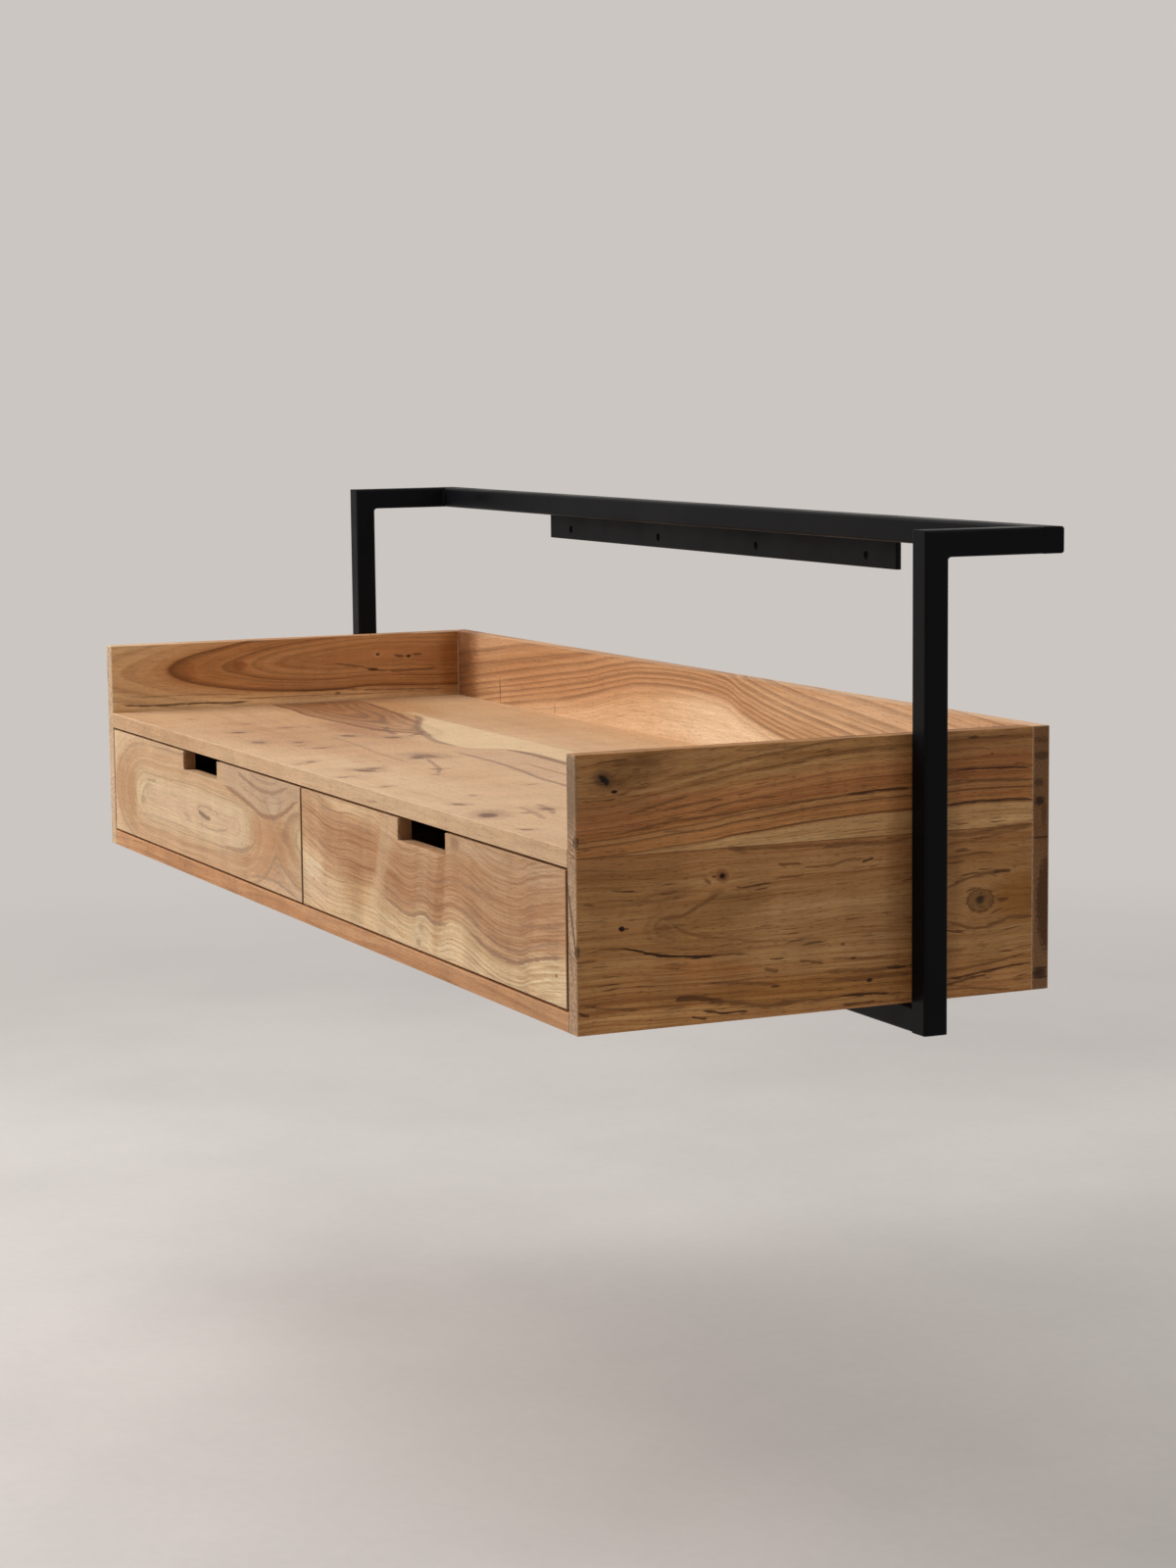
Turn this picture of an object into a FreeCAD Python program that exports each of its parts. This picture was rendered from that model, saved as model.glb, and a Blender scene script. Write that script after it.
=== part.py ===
"""Floating wall desk: a two-drawer case of solid acacia boards, carried by a frame of welded square
steel tube that is screwed to the wall through a plate behind its top rail.

Millimetres. X runs along the wall from left to right, Y points into the wall, whose plane is Y = 0,
and Z is up. The origin is the middle of the row of screw holes in the wall plate, on the wall's plane.
"""
import FreeCAD, Part
import os
import re
import Sketcher

Vector = FreeCAD.Vector
DOC = FreeCAD.newDocument("floating_wall_desk")

# ---------------------------------------------------------------- driving sizes

SIZES = (
    # wooden case
    ("desk_width", 1400.0, "case, along the wall"),
    ("desk_depth", 490.0, "case, front edge to back face"),
    ("desk_height", 250.0, "case, underside to the top of its lips"),
    ("worktop_height", 166.0, "case underside to the writing surface"),
    ("board", 18.0, "thickness of the case boards"),
    ("front_board", 15.0, "thickness of the drawer fronts"),
    ("edge_round", 1.0, "radius of the eased board edges"),
    ("wall_gap", 4.0, "case back to the wall, also the bumpers' thickness"),
    ("bumper_bore", 25.0, "diameter of a wall bumper"),
    ("bumper_inset", 90.0, "outer bumpers from the ends of the case"),
    ("bumper_rise", 30.0, "bumpers' centres above the case underside"),
    ("dowel_bore", 8.0, "diameter of the case dowels"),
    ("dowel_length", 30.0, "length of the case dowels"),
    ("dowel_sink", 12.0, "depth of a case dowel in the face of a board"),
    ("dowel_inset", 45.0, "first dowel of a side joint from its end"),
    ("back_dowel_inset", 150.0, "first dowel of a back joint from the case end"),
    ("divider_dowel_inset", 65.0, "divider dowels from the ends of the divider"),
    # steel frame
    ("tube_side", 25.0, "square tube, outside"),
    ("tube_wall", 2.0, "square tube, wall"),
    ("tube_round", 3.0, "square tube, outside corner radius"),
    ("frame_height", 437.0, "case underside to the top of the frame"),
    ("post_setback", 340.0, "front of the case to the front of a post"),
    ("pad_thickness", 3.0, "rubber pads between the crossbar and the case"),
    ("pad_length", 60.0, "rubber pads, along the crossbar"),
    ("pad_pitch", 480.0, "spacing of the pads and their screws"),
    ("plate_length", 840.0, "wall plate, along the wall"),
    ("plate_height", 50.0, "wall plate, upright"),
    ("plate_thickness", 6.0, "wall plate"),
    ("plate_drop", 30.0, "how far the wall plate hangs below the top rail"),
    ("plate_ease", 0.8, "radius of the wall plate's front edges"),
    ("hole_pitch", 240.0, "spacing of the wall screw holes"),
    ("hole_bore", 9.0, "diameter of the wall screw holes"),
    ("hole_rise", 12.0, "wall screw holes above the plate's lower edge"),
    ("cap_flange", 1.5, "visible thickness of a tube end cap"),
    ("cap_plug", 10.0, "length of an end cap inside its tube"),
    ("cap_play", 0.2, "end cap to the inside of its tube"),
    ("weld_leg", 4.0, "leg of the fillet welds in the inner corners"),
    ("stitch_length", 40.0, "length of a plate weld"),
    ("stitch_pitch", 150.0, "spacing of the plate welds"),
    # bolts between the posts and the case
    ("bolt_low", 36.0, "lower post bolts above the case underside"),
    ("bolt_high", 130.0, "upper post bolts above the case underside"),
    ("bolt_bore", 6.0, "shank of a post bolt"),
    ("bolt_head_bore", 12.0, "head of a post bolt"),
    ("bolt_head", 3.3, "height of a post bolt's head"),
    ("bolt_rim", 1.1, "upright rim of a post bolt's head"),
    ("bolt_crown_bore", 8.0, "flat top of a post bolt's head"),
    ("bolt_reach", 10.0, "how far a post bolt reaches into its post"),
    ("socket_bore", 4.0, "round drive recess in the bolt heads"),
    ("socket_depth", 2.0, "depth of the drive recess"),
    ("bolt_play", 0.25, "bolt shank to the side of its hole"),
    ("nut_bore", 9.0, "barrel of a rivet nut"),
    ("nut_length", 12.0, "barrel of a rivet nut"),
    ("nut_flange_bore", 11.0, "flange of a rivet nut"),
    ("nut_flange", 1.0, "thickness of a rivet nut's flange"),
    ("nut_play", 0.05, "rivet nut to its hole, and bolt to its nut"),
    # screws up through the crossbar
    ("bar_screw_bore", 5.0, "shank of a crossbar screw"),
    ("bar_screw_head_bore", 9.0, "head of a crossbar screw"),
    ("bar_screw_head", 3.0, "height of a crossbar screw's head"),
    ("bar_screw_bite", 13.0, "depth of a crossbar screw in the case"),
    ("access_bore", 12.0, "driver hole in the underside of the crossbar"),
    # drawers
    ("front_gap", 2.5, "gap above and below the drawer fronts"),
    ("side_gap", 4.0, "gap beside a drawer front and between the two"),
    ("notch_width", 122.0, "finger notch"),
    ("notch_depth", 22.0, "finger notch, below the front's top edge"),
    ("drawer_board", 12.0, "thickness of the drawer sides and back"),
    ("drawer_rear_gap", 14.0, "drawer sides to the back panel"),
    ("drawer_side_height", 100.0, "drawer sides, upright"),
    ("drawer_lift", 12.0, "drawer sides above the bottom panel"),
    ("drawer_bottom", 6.0, "thickness of the drawer bottoms"),
    ("groove_rise", 10.0, "grooves above the lower edge of the sides"),
    ("groove_depth", 6.0, "grooves for the drawer bottoms"),
    ("groove_play", 0.5, "drawer bottoms to the floor of their grooves"),
    ("pin_bore", 6.0, "diameter of the drawer dowels"),
    ("pin_length", 24.0, "length of the drawer dowels"),
    ("pin_sink", 8.0, "depth of a drawer dowel in the face of a board"),
    ("pin_low", 32.0, "lower drawer dowels above the side's lower edge"),
    ("pin_high", 78.0, "upper drawer dowels above the side's lower edge"),
    # telescopic runners
    ("runner_length", 400.0, "outer and inner rails"),
    ("runner_height", 45.0, "outer rail, upright"),
    ("runner_width", 12.7, "cabinet wall to drawer side"),
    ("runner_sheet", 1.2, "sheet of the rails"),
    ("runner_setback", 2.0, "back of the drawer front to the rails"),
    ("middle_short", 20.0, "how much shorter the middle rail is"),
    ("web_gap", 1.1, "free space between nested webs"),
    ("race_lip", 1.2, "turned lips that keep the balls in"),
    ("ball_bore", 3.2, "diameter of the balls"),
    ("ball_play", 0.3, "ball to its race"),
    ("cage_sheet", 0.4, "sheet of the ball cages"),
    ("cage_play", 0.1, "ball to its hole in the cage"),
    ("cage_length", 160.0, "ball cages, along the rails"),
    ("outer_cage_start", 110.0, "outer cage behind the front of the rails"),
    ("inner_cage_start", 120.0, "inner cage behind the front of the rails"),
    ("ball_first", 16.0, "first ball from the end of its cage"),
    ("ball_pitch", 32.0, "spacing of the balls"),
    ("screw_first", 37.0, "first runner screw from the front of the rails"),
    ("screw_last", 43.0, "last runner screw from the back of the rails"),
    ("screw_bore", 3.4, "shank of a runner screw"),
    ("screw_head_bore", 6.4, "countersunk head of a runner screw"),
    ("screw_cone", 1.5, "height of the countersunk head"),
    ("screw_length", 9.2, "runner screw, head included"),
)

BALLS_PER_ROW = 5
RUNNER_SCREWS = 3
WALL_HOLES = 4
SIDE_DOWELS = 4
BACK_DOWELS = 4
LIP_DOWELS = 3
PLATE_WELDS = 6

# Two places this close to each other are the same place.
TOUCH = 1e-4

# Sketch geometry starts at this rough size, and its constraints then give it its own.
ROUGH = 10.0

# Places worked out from the sizes. Each name can stand in any formula below.
PLACES = {
    "past": "1",  # how far a cut runs past the face that it goes through
    "case_left": "-desk_width/2",
    "case_right": "desk_width/2",
    "case_front": "-wall_gap - desk_depth",
    "case_back": "-wall_gap",
    "back_face": "case_back - board",
    "rail_bottom": "plate_drop - hole_rise",
    "rail_top": "rail_bottom + tube_side",
    "case_bottom": "rail_top - frame_height",
    "floor_top": "case_bottom + board",
    "worktop_top": "case_bottom + worktop_height",
    "worktop_under": "worktop_top - board",
    "inner_width": "desk_width - 2*board",
    "rail_back": "-plate_thickness",
    "rail_front": "rail_back - tube_side",
    "post_front": "case_front + post_setback",
    "post_back": "post_front + tube_side",
    "post_middle": "post_front + tube_side/2",
    "bar_top": "case_bottom - pad_thickness",
    "bar_bottom": "bar_top - tube_side",
    "frame_left": "case_left - tube_side",
    "frame_right": "case_right + tube_side",
    "tube_flat": "tube_side - 2*tube_round",
    "bay_width": "(desk_width - 3*board)/2",
    "front_back": "case_front + front_board",
    "front_width": "(inner_width - 3*side_gap)/2",
    "front_height": "worktop_under - floor_top - 2*front_gap",
    "divider_front": "front_back + front_gap",
    "drawer_length": "back_face - drawer_rear_gap - front_back",
    "box_bottom": "floor_top + drawer_lift",
    "box_width": "bay_width - 2*runner_width",
    "box_inside": "box_width - 2*drawer_board",
    "tongue": "groove_depth - groove_play",
    "runner_front": "front_back + runner_setback",
    "runner_middle": "box_bottom + drawer_side_height/2",
    "half_outer": "runner_height/2",
    "race_room": "ball_bore + 2*ball_play",
    "half_middle": "half_outer - runner_sheet - race_room",
    "half_inner": "half_middle - runner_sheet - race_room",
    "middle_web": "runner_sheet + web_gap",
    "outer_ball_out": "middle_web + runner_sheet + race_room/2",
    "outer_end": "outer_ball_out + race_room/2 + runner_sheet",
    "inner_start": "middle_web + runner_sheet + web_gap",
    "inner_ball_out": "inner_start + runner_sheet + race_room/2",
    "middle_end": "inner_ball_out + race_room/2 + runner_sheet",
    "outer_ball_up": "half_outer - runner_sheet - race_room/2",
    "inner_ball_up": "half_middle - runner_sheet - race_room/2",
    "outer_cage_web": "runner_sheet + (web_gap - cage_sheet)/2",
    "inner_cage_web": "middle_web + runner_sheet + (web_gap - cage_sheet)/2",
}

SIDES = ("left", "right")
SIGN = {"left": 1, "right": -1}
BAY_LEFT = {"left": "case_left + board", "right": "board/2"}
FRONT_LEFT = {"left": "case_left + board + side_gap", "right": "side_gap/2"}

# ---------------------------------------------------------------- the sheet and its formulas

sheet = DOC.addObject("Spreadsheet::Sheet", "Sizes")
for row, (alias, number, note) in enumerate(SIZES, start=1):
    sheet.set("A%d" % row, note)
    sheet.set("B%d" % row, "%g" % number)
    sheet.setAlias("B%d" % row, alias)
DOC.recompute()
ALIASES = {alias for alias, number, note in SIZES}


def ref(formula):
    """Write a formula in the sheet's own names, with every named place worked out."""
    def swap(match):
        word = match.group(0)
        if word in PLACES:
            return "(" + ref(PLACES[word]) + ")"
        if word not in ALIASES:
            raise ValueError("no size is called " + word)
        return "Sizes." + word
    return re.sub(r"[a-z]+(?:_[a-z]+)*", swap, formula)


def bind(thing, prop, formula):
    thing.setExpression(prop, ref(formula))


def bind_place(thing, place):
    """Hold an object's position to three formulas."""
    for axis, formula in zip("xyz", place):
        bind(thing, "Placement.Base." + axis, formula)


# ---------------------------------------------------------------- sketches and features

# A pad on the XZ plane runs against that plane's normal, so its direction is turned round.
PLANES = {"x": "YZ_Plane", "y": "XZ_Plane", "z": "XY_Plane"}
UP_Z = Vector(0, 0, 1)
TURNS = {
    "+x": FreeCAD.Rotation(UP_Z, Vector(1, 0, 0)),
    "-x": FreeCAD.Rotation(UP_Z, Vector(-1, 0, 0)),
    "+y": FreeCAD.Rotation(UP_Z, Vector(0, 1, 0)),
    "-y": FreeCAD.Rotation(UP_Z, Vector(0, -1, 0)),
    "+z": FreeCAD.Rotation(),
    "-z": FreeCAD.Rotation(UP_Z, Vector(0, 0, -1)),
}


def new_body(label, place=("0", "0", "0")):
    body = DOC.addObject("PartDesign::Body", label)
    body.Label = label
    bind_place(body, place)
    return body


def rectangle(left, low, width, height):
    """The corners of a rectangle as pairs of formulas."""
    right = "%s + %s" % (left, width)
    high = "%s + %s" % (low, height)
    return [(left, low), (right, low), (right, high), (left, high)]


def draw(body, axis, loops=(), circles=()):
    """Sketch closed loops of corners and circles square to an axis, every corner held by formulas."""
    sketch = body.newObject("Sketcher::SketchObject", body.Name + "_sketch")
    plane = [item for item in body.Origin.OriginFeatures if item.Role == PLANES[axis]][0]
    sketch.AttachmentSupport = (plane, [""])
    sketch.MapMode = "FlatFace"

    def pin(geometry, point, direction, formula, start):
        index = sketch.addConstraint(Sketcher.Constraint(direction, -1, 1, geometry, point, start))
        bind(sketch, "Constraints[%d]" % index, formula)

    for corners in loops:
        first = sketch.GeometryCount
        count = len(corners)
        rough = [FreeCAD.Rotation(UP_Z, 360.0*i/count).multVec(Vector(ROUGH, 0, 0)) for i in range(count)]
        for i in range(count):
            sketch.addGeometry(Part.LineSegment(rough[i], rough[(i + 1) % count]), False)
        for i in range(count):
            following = first + (i + 1) % count
            sketch.addConstraint(Sketcher.Constraint("Coincident", first + i, 2, following, 1))
        for i, (across, up) in enumerate(corners):
            pin(first + i, 1, "DistanceX", across, rough[i].x)
            pin(first + i, 1, "DistanceY", up, rough[i].y)
    for across, up, bore in circles:
        index = sketch.addGeometry(Part.Circle(Vector(ROUGH, ROUGH, 0), UP_Z, ROUGH/2), False)
        pin(index, 3, "DistanceX", across, ROUGH)
        pin(index, 3, "DistanceY", up, ROUGH)
        size = sketch.addConstraint(Sketcher.Constraint("Diameter", index, ROUGH))
        bind(sketch, "Constraints[%d]" % size, bore)
    return sketch


def pad(body, axis, length, loops=(), circles=()):
    """Extrude a sketch in the positive direction of its axis."""
    feature = body.newObject("PartDesign::Pad", body.Name + "_pad")
    feature.Profile = draw(body, axis, loops, circles)
    bind(feature, "Length", length)
    feature.Reversed = axis == "y"
    return feature


def pocket(body, axis, start, depth, loops=(), circles=()):
    """Cut from a start along the positive direction of an axis, and make sure that it cut something."""
    DOC.recompute()
    before = body.Shape.Volume
    feature = body.newObject("PartDesign::Pocket", body.Name + "_pocket")
    sketch = draw(body, axis, loops, circles)
    toward = "-(%s)" if axis == "y" else "%s"
    bind(sketch, "AttachmentOffset.Base.z", toward % start)
    feature.Profile = sketch
    bind(feature, "Length", depth)
    feature.Reversed = axis != "y"
    DOC.recompute()
    if body.Shape.Volume > before - TOUCH:
        raise RuntimeError("a pocket in %s cut nothing" % body.Label)
    return feature


def lies_in(edge, box, side):
    """Whether an edge lies in one side of a box, such as XMin."""
    place = getattr(box, side)
    low = getattr(edge.BoundBox, side[0] + "Min")
    high = getattr(edge.BoundBox, side[0] + "Max")
    return abs(low - place) < TOUCH and abs(high - place) < TOUCH


def edges_on(shape, sides, away=()):
    """Names of the edges that lie in one of the first box sides and in none of the others."""
    box = shape.BoundBox
    names = []
    for number, edge in enumerate(shape.Edges, start=1):
        wanted = any(lies_in(edge, box, side) for side in sides)
        if wanted and not any(lies_in(edge, box, side) for side in away):
            names.append("Edge%d" % number)
    return names


def edges_along(shape, axis):
    """Names of the straight edges that run along an axis."""
    direction = {"x": Vector(1, 0, 0), "y": Vector(0, 1, 0), "z": UP_Z}[axis]
    names = []
    for number, edge in enumerate(shape.Edges, start=1):
        run = edge.Vertexes[-1].Point - edge.Vertexes[0].Point
        if run.Length > TOUCH and run.cross(direction).Length < TOUCH:
            names.append("Edge%d" % number)
    return names


def ease(body, radius, names):
    """Round the named edges of what the body has so far."""
    solid = body.Tip
    fillet = body.newObject("PartDesign::Fillet", body.Name + "_ease")
    fillet.Base = (solid, names)
    bind(fillet, "Radius", radius)
    DOC.recompute()
    return fillet


# ---------------------------------------------------------------- pieces, copies and groups

NODES = {}


def keep(label, thing):
    """List a finished sub-part under its own name."""
    thing.Label = label
    NODES[label] = thing
    return thing


def copies(label, master, spots):
    """A group of copies of one piece, each spot a place and a turn."""
    links = []
    for place, turn in spots:
        link = DOC.addObject("App::Link", label + "_copy")
        link.LinkedObject = master
        link.Placement.Rotation = TURNS[turn] if isinstance(turn, str) else turn
        bind_place(link, place)
        links.append(link)
    return gather(label, links)


def gather(label, things):
    group = DOC.addObject("Part::Compound", label)
    group.Links = list(things)
    return group


def drilled(label, base, tools):
    """Cut the seats of fasteners out of a piece and keep the result."""
    base.Label = label + "_blank"
    cut = DOC.addObject("Part::Cut", label)
    cut.Base = base
    cut.Tool = tools[0] if len(tools) == 1 else gather(label + "_seats", tools)
    return keep(label, cut)


def turned(label, profile):
    """A piece turned round Z from a half profile of (radius, height) formulas."""
    body = new_body(label)
    sketch = draw(body, "y", [profile])
    feature = body.newObject("PartDesign::Revolution", label + "_turn")
    feature.Profile = sketch
    feature.ReferenceAxis = (sketch, ["V_Axis"])
    feature.Angle = 360
    return body


def board(label, size, place):
    """A board with its lowest corner at a place."""
    body = new_body(label, place)
    pad(body, "z", size[2], [rectangle("0", "0", size[0], size[1])])
    DOC.recompute()
    return body


# ---------------------------------------------------------------- fasteners and their seats

def make_fasteners():
    """Masters of the pieces that repeat, each with its joint plane at Z = 0."""
    dowel = turned("dowel", [
        ("0", "-dowel_sink"), ("dowel_bore/2 - edge_round", "-dowel_sink"),
        ("dowel_bore/2", "edge_round - dowel_sink"),
        ("dowel_bore/2", "dowel_length - dowel_sink - edge_round"),
        ("dowel_bore/2 - edge_round", "dowel_length - dowel_sink"), ("0", "dowel_length - dowel_sink")])
    pin = turned("drawer_pin", [
        ("0", "-pin_sink"), ("pin_bore/2 - edge_round", "-pin_sink"),
        ("pin_bore/2", "edge_round - pin_sink"),
        ("pin_bore/2", "pin_length - pin_sink - edge_round"),
        ("pin_bore/2 - edge_round", "pin_length - pin_sink"), ("0", "pin_length - pin_sink")])
    # the bolt's own plane is the outer face of the side board, its head is inside the case
    bolt = turned("post_bolt", [
        ("0", "-bolt_reach"), ("bolt_bore/2", "-bolt_reach"), ("bolt_bore/2", "board"),
        ("bolt_head_bore/2", "board"), ("bolt_head_bore/2", "board + bolt_rim"),
        ("bolt_crown_bore/2", "board + bolt_head"), ("socket_bore/2", "board + bolt_head"),
        ("socket_bore/2", "board + bolt_head - socket_depth"), ("0", "board + bolt_head - socket_depth")])
    bolt_hole = turned("post_bolt_hole", [
        ("0", "-tube_wall - past"), ("nut_bore/2 + nut_play", "-tube_wall - past"),
        ("nut_bore/2 + nut_play", "0"), ("nut_flange_bore/2 + bolt_play", "0"),
        ("nut_flange_bore/2 + bolt_play", "nut_flange"), ("bolt_bore/2 + bolt_play", "nut_flange"),
        ("bolt_bore/2 + bolt_play", "board + past"), ("0", "board + past")])
    nut = turned("rivet_nut", [
        ("bolt_bore/2 + nut_play", "-nut_length"), ("nut_bore/2", "-nut_length"), ("nut_bore/2", "0"),
        ("nut_flange_bore/2", "0"), ("nut_flange_bore/2", "nut_flange"),
        ("bolt_bore/2 + nut_play", "nut_flange")])
    # the crossbar screw's own plane is the top of the crossbar
    bar_screw = turned("bar_screw", [
        ("0", "-tube_wall - bar_screw_head + socket_depth"),
        ("socket_bore/2", "-tube_wall - bar_screw_head + socket_depth"),
        ("socket_bore/2", "-tube_wall - bar_screw_head"),
        ("bar_screw_head_bore/2", "-tube_wall - bar_screw_head"),
        ("bar_screw_head_bore/2", "-tube_wall"), ("bar_screw_bore/2", "-tube_wall"),
        ("bar_screw_bore/2", "pad_thickness + bar_screw_bite - bar_screw_bore/2"),
        ("0", "pad_thickness + bar_screw_bite")])
    bar_hole = turned("bar_screw_hole", [
        ("0", "-tube_side - past"), ("access_bore/2", "-tube_side - past"),
        ("access_bore/2", "-tube_side + tube_wall + past"),
        ("bar_screw_bore/2 + bolt_play", "-tube_side + tube_wall + past"),
        ("bar_screw_bore/2 + bolt_play", "pad_thickness"), ("0", "pad_thickness")])
    # the runner screw's own plane is the flush top of its head
    screw = turned("runner_screw", [
        ("0", "0"), ("screw_head_bore/2", "0"), ("screw_bore/2", "-screw_cone"),
        ("screw_bore/2", "-screw_length + screw_bore/2"), ("0", "-screw_length")])
    return dowel, pin, bolt, bolt_hole, nut, bar_screw, bar_hole, screw


DOWEL, PIN, BOLT, BOLT_HOLE, NUT, BAR_SCREW, BAR_HOLE, SCREW = make_fasteners()


def case_dowel_spots():
    """Dowels of the corner joints, of the back and of the divider."""
    spots = []
    heights = ("case_bottom + board/2", "worktop_top - board/2")
    for i in range(SIDE_DOWELS):
        depth = "case_front + dowel_inset + %d*(desk_depth - board - 2*dowel_inset)/%d" % (i, SIDE_DOWELS - 1)
        for height in heights:
            spots.append((("case_left + board", depth, height), "+x"))
            spots.append((("case_right - board", depth, height), "-x"))
    for i in range(BACK_DOWELS):
        span = "(desk_width - 2*back_dowel_inset)"
        along = "case_left + back_dowel_inset + %d*%s/%d" % (i, span, BACK_DOWELS - 1)
        for height in heights:
            spots.append(((along, "back_face", height), "-y"))
    for i in range(LIP_DOWELS):
        height = "case_bottom + dowel_inset + %d*(desk_height - 2*dowel_inset)/%d" % (i, LIP_DOWELS - 1)
        spots.append((("case_left + board/2", "back_face", height), "-y"))
        spots.append((("case_right - board/2", "back_face", height), "-y"))
    for depth in ("divider_front + divider_dowel_inset", "back_face - divider_dowel_inset"):
        spots.append((("0", depth, "floor_top"), "+z"))
        spots.append((("0", depth, "worktop_under"), "-z"))
    return spots


def post_bolt_spots():
    spots = []
    for height in ("case_bottom + bolt_low", "case_bottom + bolt_high"):
        spots.append((("case_left", "post_middle", height), "+x"))
        spots.append((("case_right", "post_middle", height), "-x"))
    return spots


def bar_screw_spots():
    return [(("%d*pad_pitch" % i, "post_middle", "bar_top"), "+z") for i in (-1, 0, 1)]


def runner_spots(side, depth_from_wall, points_to_wall):
    """Screw spots of one drawer's two runners, at a distance from the bay's walls."""
    spots = []
    for hand in SIDES:
        wall = wall_of(side, hand)
        out = "%s + %d*(%s)" % (wall, SIGN[hand], depth_from_wall)
        turn = "+x" if (SIGN[hand] > 0) == points_to_wall else "-x"
        for i in range(RUNNER_SCREWS):
            span = "(runner_length - screw_first - screw_last)"
            along = "runner_front + screw_first + %d*%s/%d" % (i, span, RUNNER_SCREWS - 1)
            spots.append(((out, along, "runner_middle"), turn))
    return spots


def wall_of(side, hand):
    """The face of the case that one runner of a bay is screwed to."""
    if hand == "left":
        return BAY_LEFT[side]
    return BAY_LEFT[side] + " + bay_width"


# ---------------------------------------------------------------- wooden case

def make_case():
    dowels = keep("carcass_dowels", copies("carcass_dowels", DOWEL, case_dowel_spots()))
    bolts = keep("post_bolts", copies("post_bolts", BOLT, post_bolt_spots()))
    nuts = keep("post_rivet_nuts", copies("post_rivet_nuts", NUT, post_bolt_spots()))
    bolt_holes = copies("post_bolt_holes", BOLT_HOLE, post_bolt_spots())
    bar_screws = keep("crossbar_screws", copies("crossbar_screws", BAR_SCREW, bar_screw_spots()))
    screws = {}
    for side in SIDES:
        label = side + "_drawer_cabinet_screws"
        screws[side] = keep(label, copies(label, SCREW, runner_spots(side, "runner_sheet", True)))

    side_size = ("board", "desk_depth - board", "desk_height")
    for side, corner in (("left", "case_left"), ("right", "case_right - board")):
        label = side + "_side_panel"
        panel = board(label, side_size, (corner, "case_front", "case_bottom"))
        ease(panel, "edge_round", edges_on(panel.Shape, ("YMin", "ZMax", "ZMin"), ("YMax",)))
        drilled(label, panel, [dowels, bolt_holes, screws[side]])

    back = board("back_panel", ("desk_width", "board", "desk_height"),
                 ("case_left", "back_face", "case_bottom"))
    ease(back, "edge_round", edges_on(back.Shape, ("YMax", "ZMax", "ZMin")))
    drilled("back_panel", back, [dowels])

    flat_size = ("inner_width", "desk_depth - board", "board")
    for label, low, tools in (("desktop_panel", "worktop_under", [dowels]),
                              ("bottom_panel", "case_bottom", [dowels, bar_screws])):
        panel = board(label, flat_size, ("case_left + board", "case_front", low))
        ease(panel, "edge_round", edges_on(panel.Shape, ("YMin",), ("XMin", "XMax")))
        drilled(label, panel, tools)

    divider = board("centre_divider", ("board", "back_face - divider_front", "worktop_under - floor_top"),
                    ("-board/2", "divider_front", "floor_top"))
    drilled("centre_divider", divider, [dowels, screws["left"], screws["right"]])

    bumper = turned("bumper", [
        ("0", "0"), ("bumper_bore/2", "0"), ("bumper_bore/2", "wall_gap - edge_round"),
        ("bumper_bore/2 - edge_round", "wall_gap"), ("0", "wall_gap")])
    spots = [(("%d*(desk_width/2 - bumper_inset)" % i, "case_back", "case_bottom + bumper_rise"), "+y")
             for i in (-1, 0, 1)]
    keep("wall_bumpers", copies("wall_bumpers", bumper, spots))
    return bolt_holes


# ---------------------------------------------------------------- steel frame

def tube(label, axis, length, place):
    """Square tube along an axis with its lowest corner at a place, round corners inside and out."""
    body = new_body(label, place)
    inside = "tube_side - 2*tube_wall"
    pad(body, axis, length, [rectangle("0", "0", "tube_side", "tube_side"),
                             rectangle("tube_wall", "tube_wall", inside, inside)])
    DOC.recompute()
    ease(body, "tube_round", [name for name, inset in long_corners(body.Shape, axis) if inset < TOUCH])
    ease(body, "tube_round - tube_wall",
         [name for name, inset in long_corners(body.Shape, axis) if inset > TOUCH])
    return body


def long_corners(shape, axis):
    """A tube's corner edges, each with how far it lies in from the two sides that it is nearest to."""
    box = shape.BoundBox
    corners = []
    for name in edges_along(shape, axis):
        point = shape.getElement(name).BoundBox.Center
        insets = []
        for letter in "xyz".replace(axis, ""):
            low = getattr(box, letter.upper() + "Min")
            high = getattr(box, letter.upper() + "Max")
            place = getattr(point, letter)
            insets.append(min(place - low, high - place))
        if abs(insets[0] - insets[1]) < TOUCH:
            corners.append((name, insets[0]))
    return corners


def mitre(body, corners):
    """Cut a wedge off the end of a tube, square to X."""
    pocket(body, "x", "-past", "tube_side + 2*past", [corners])


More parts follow.
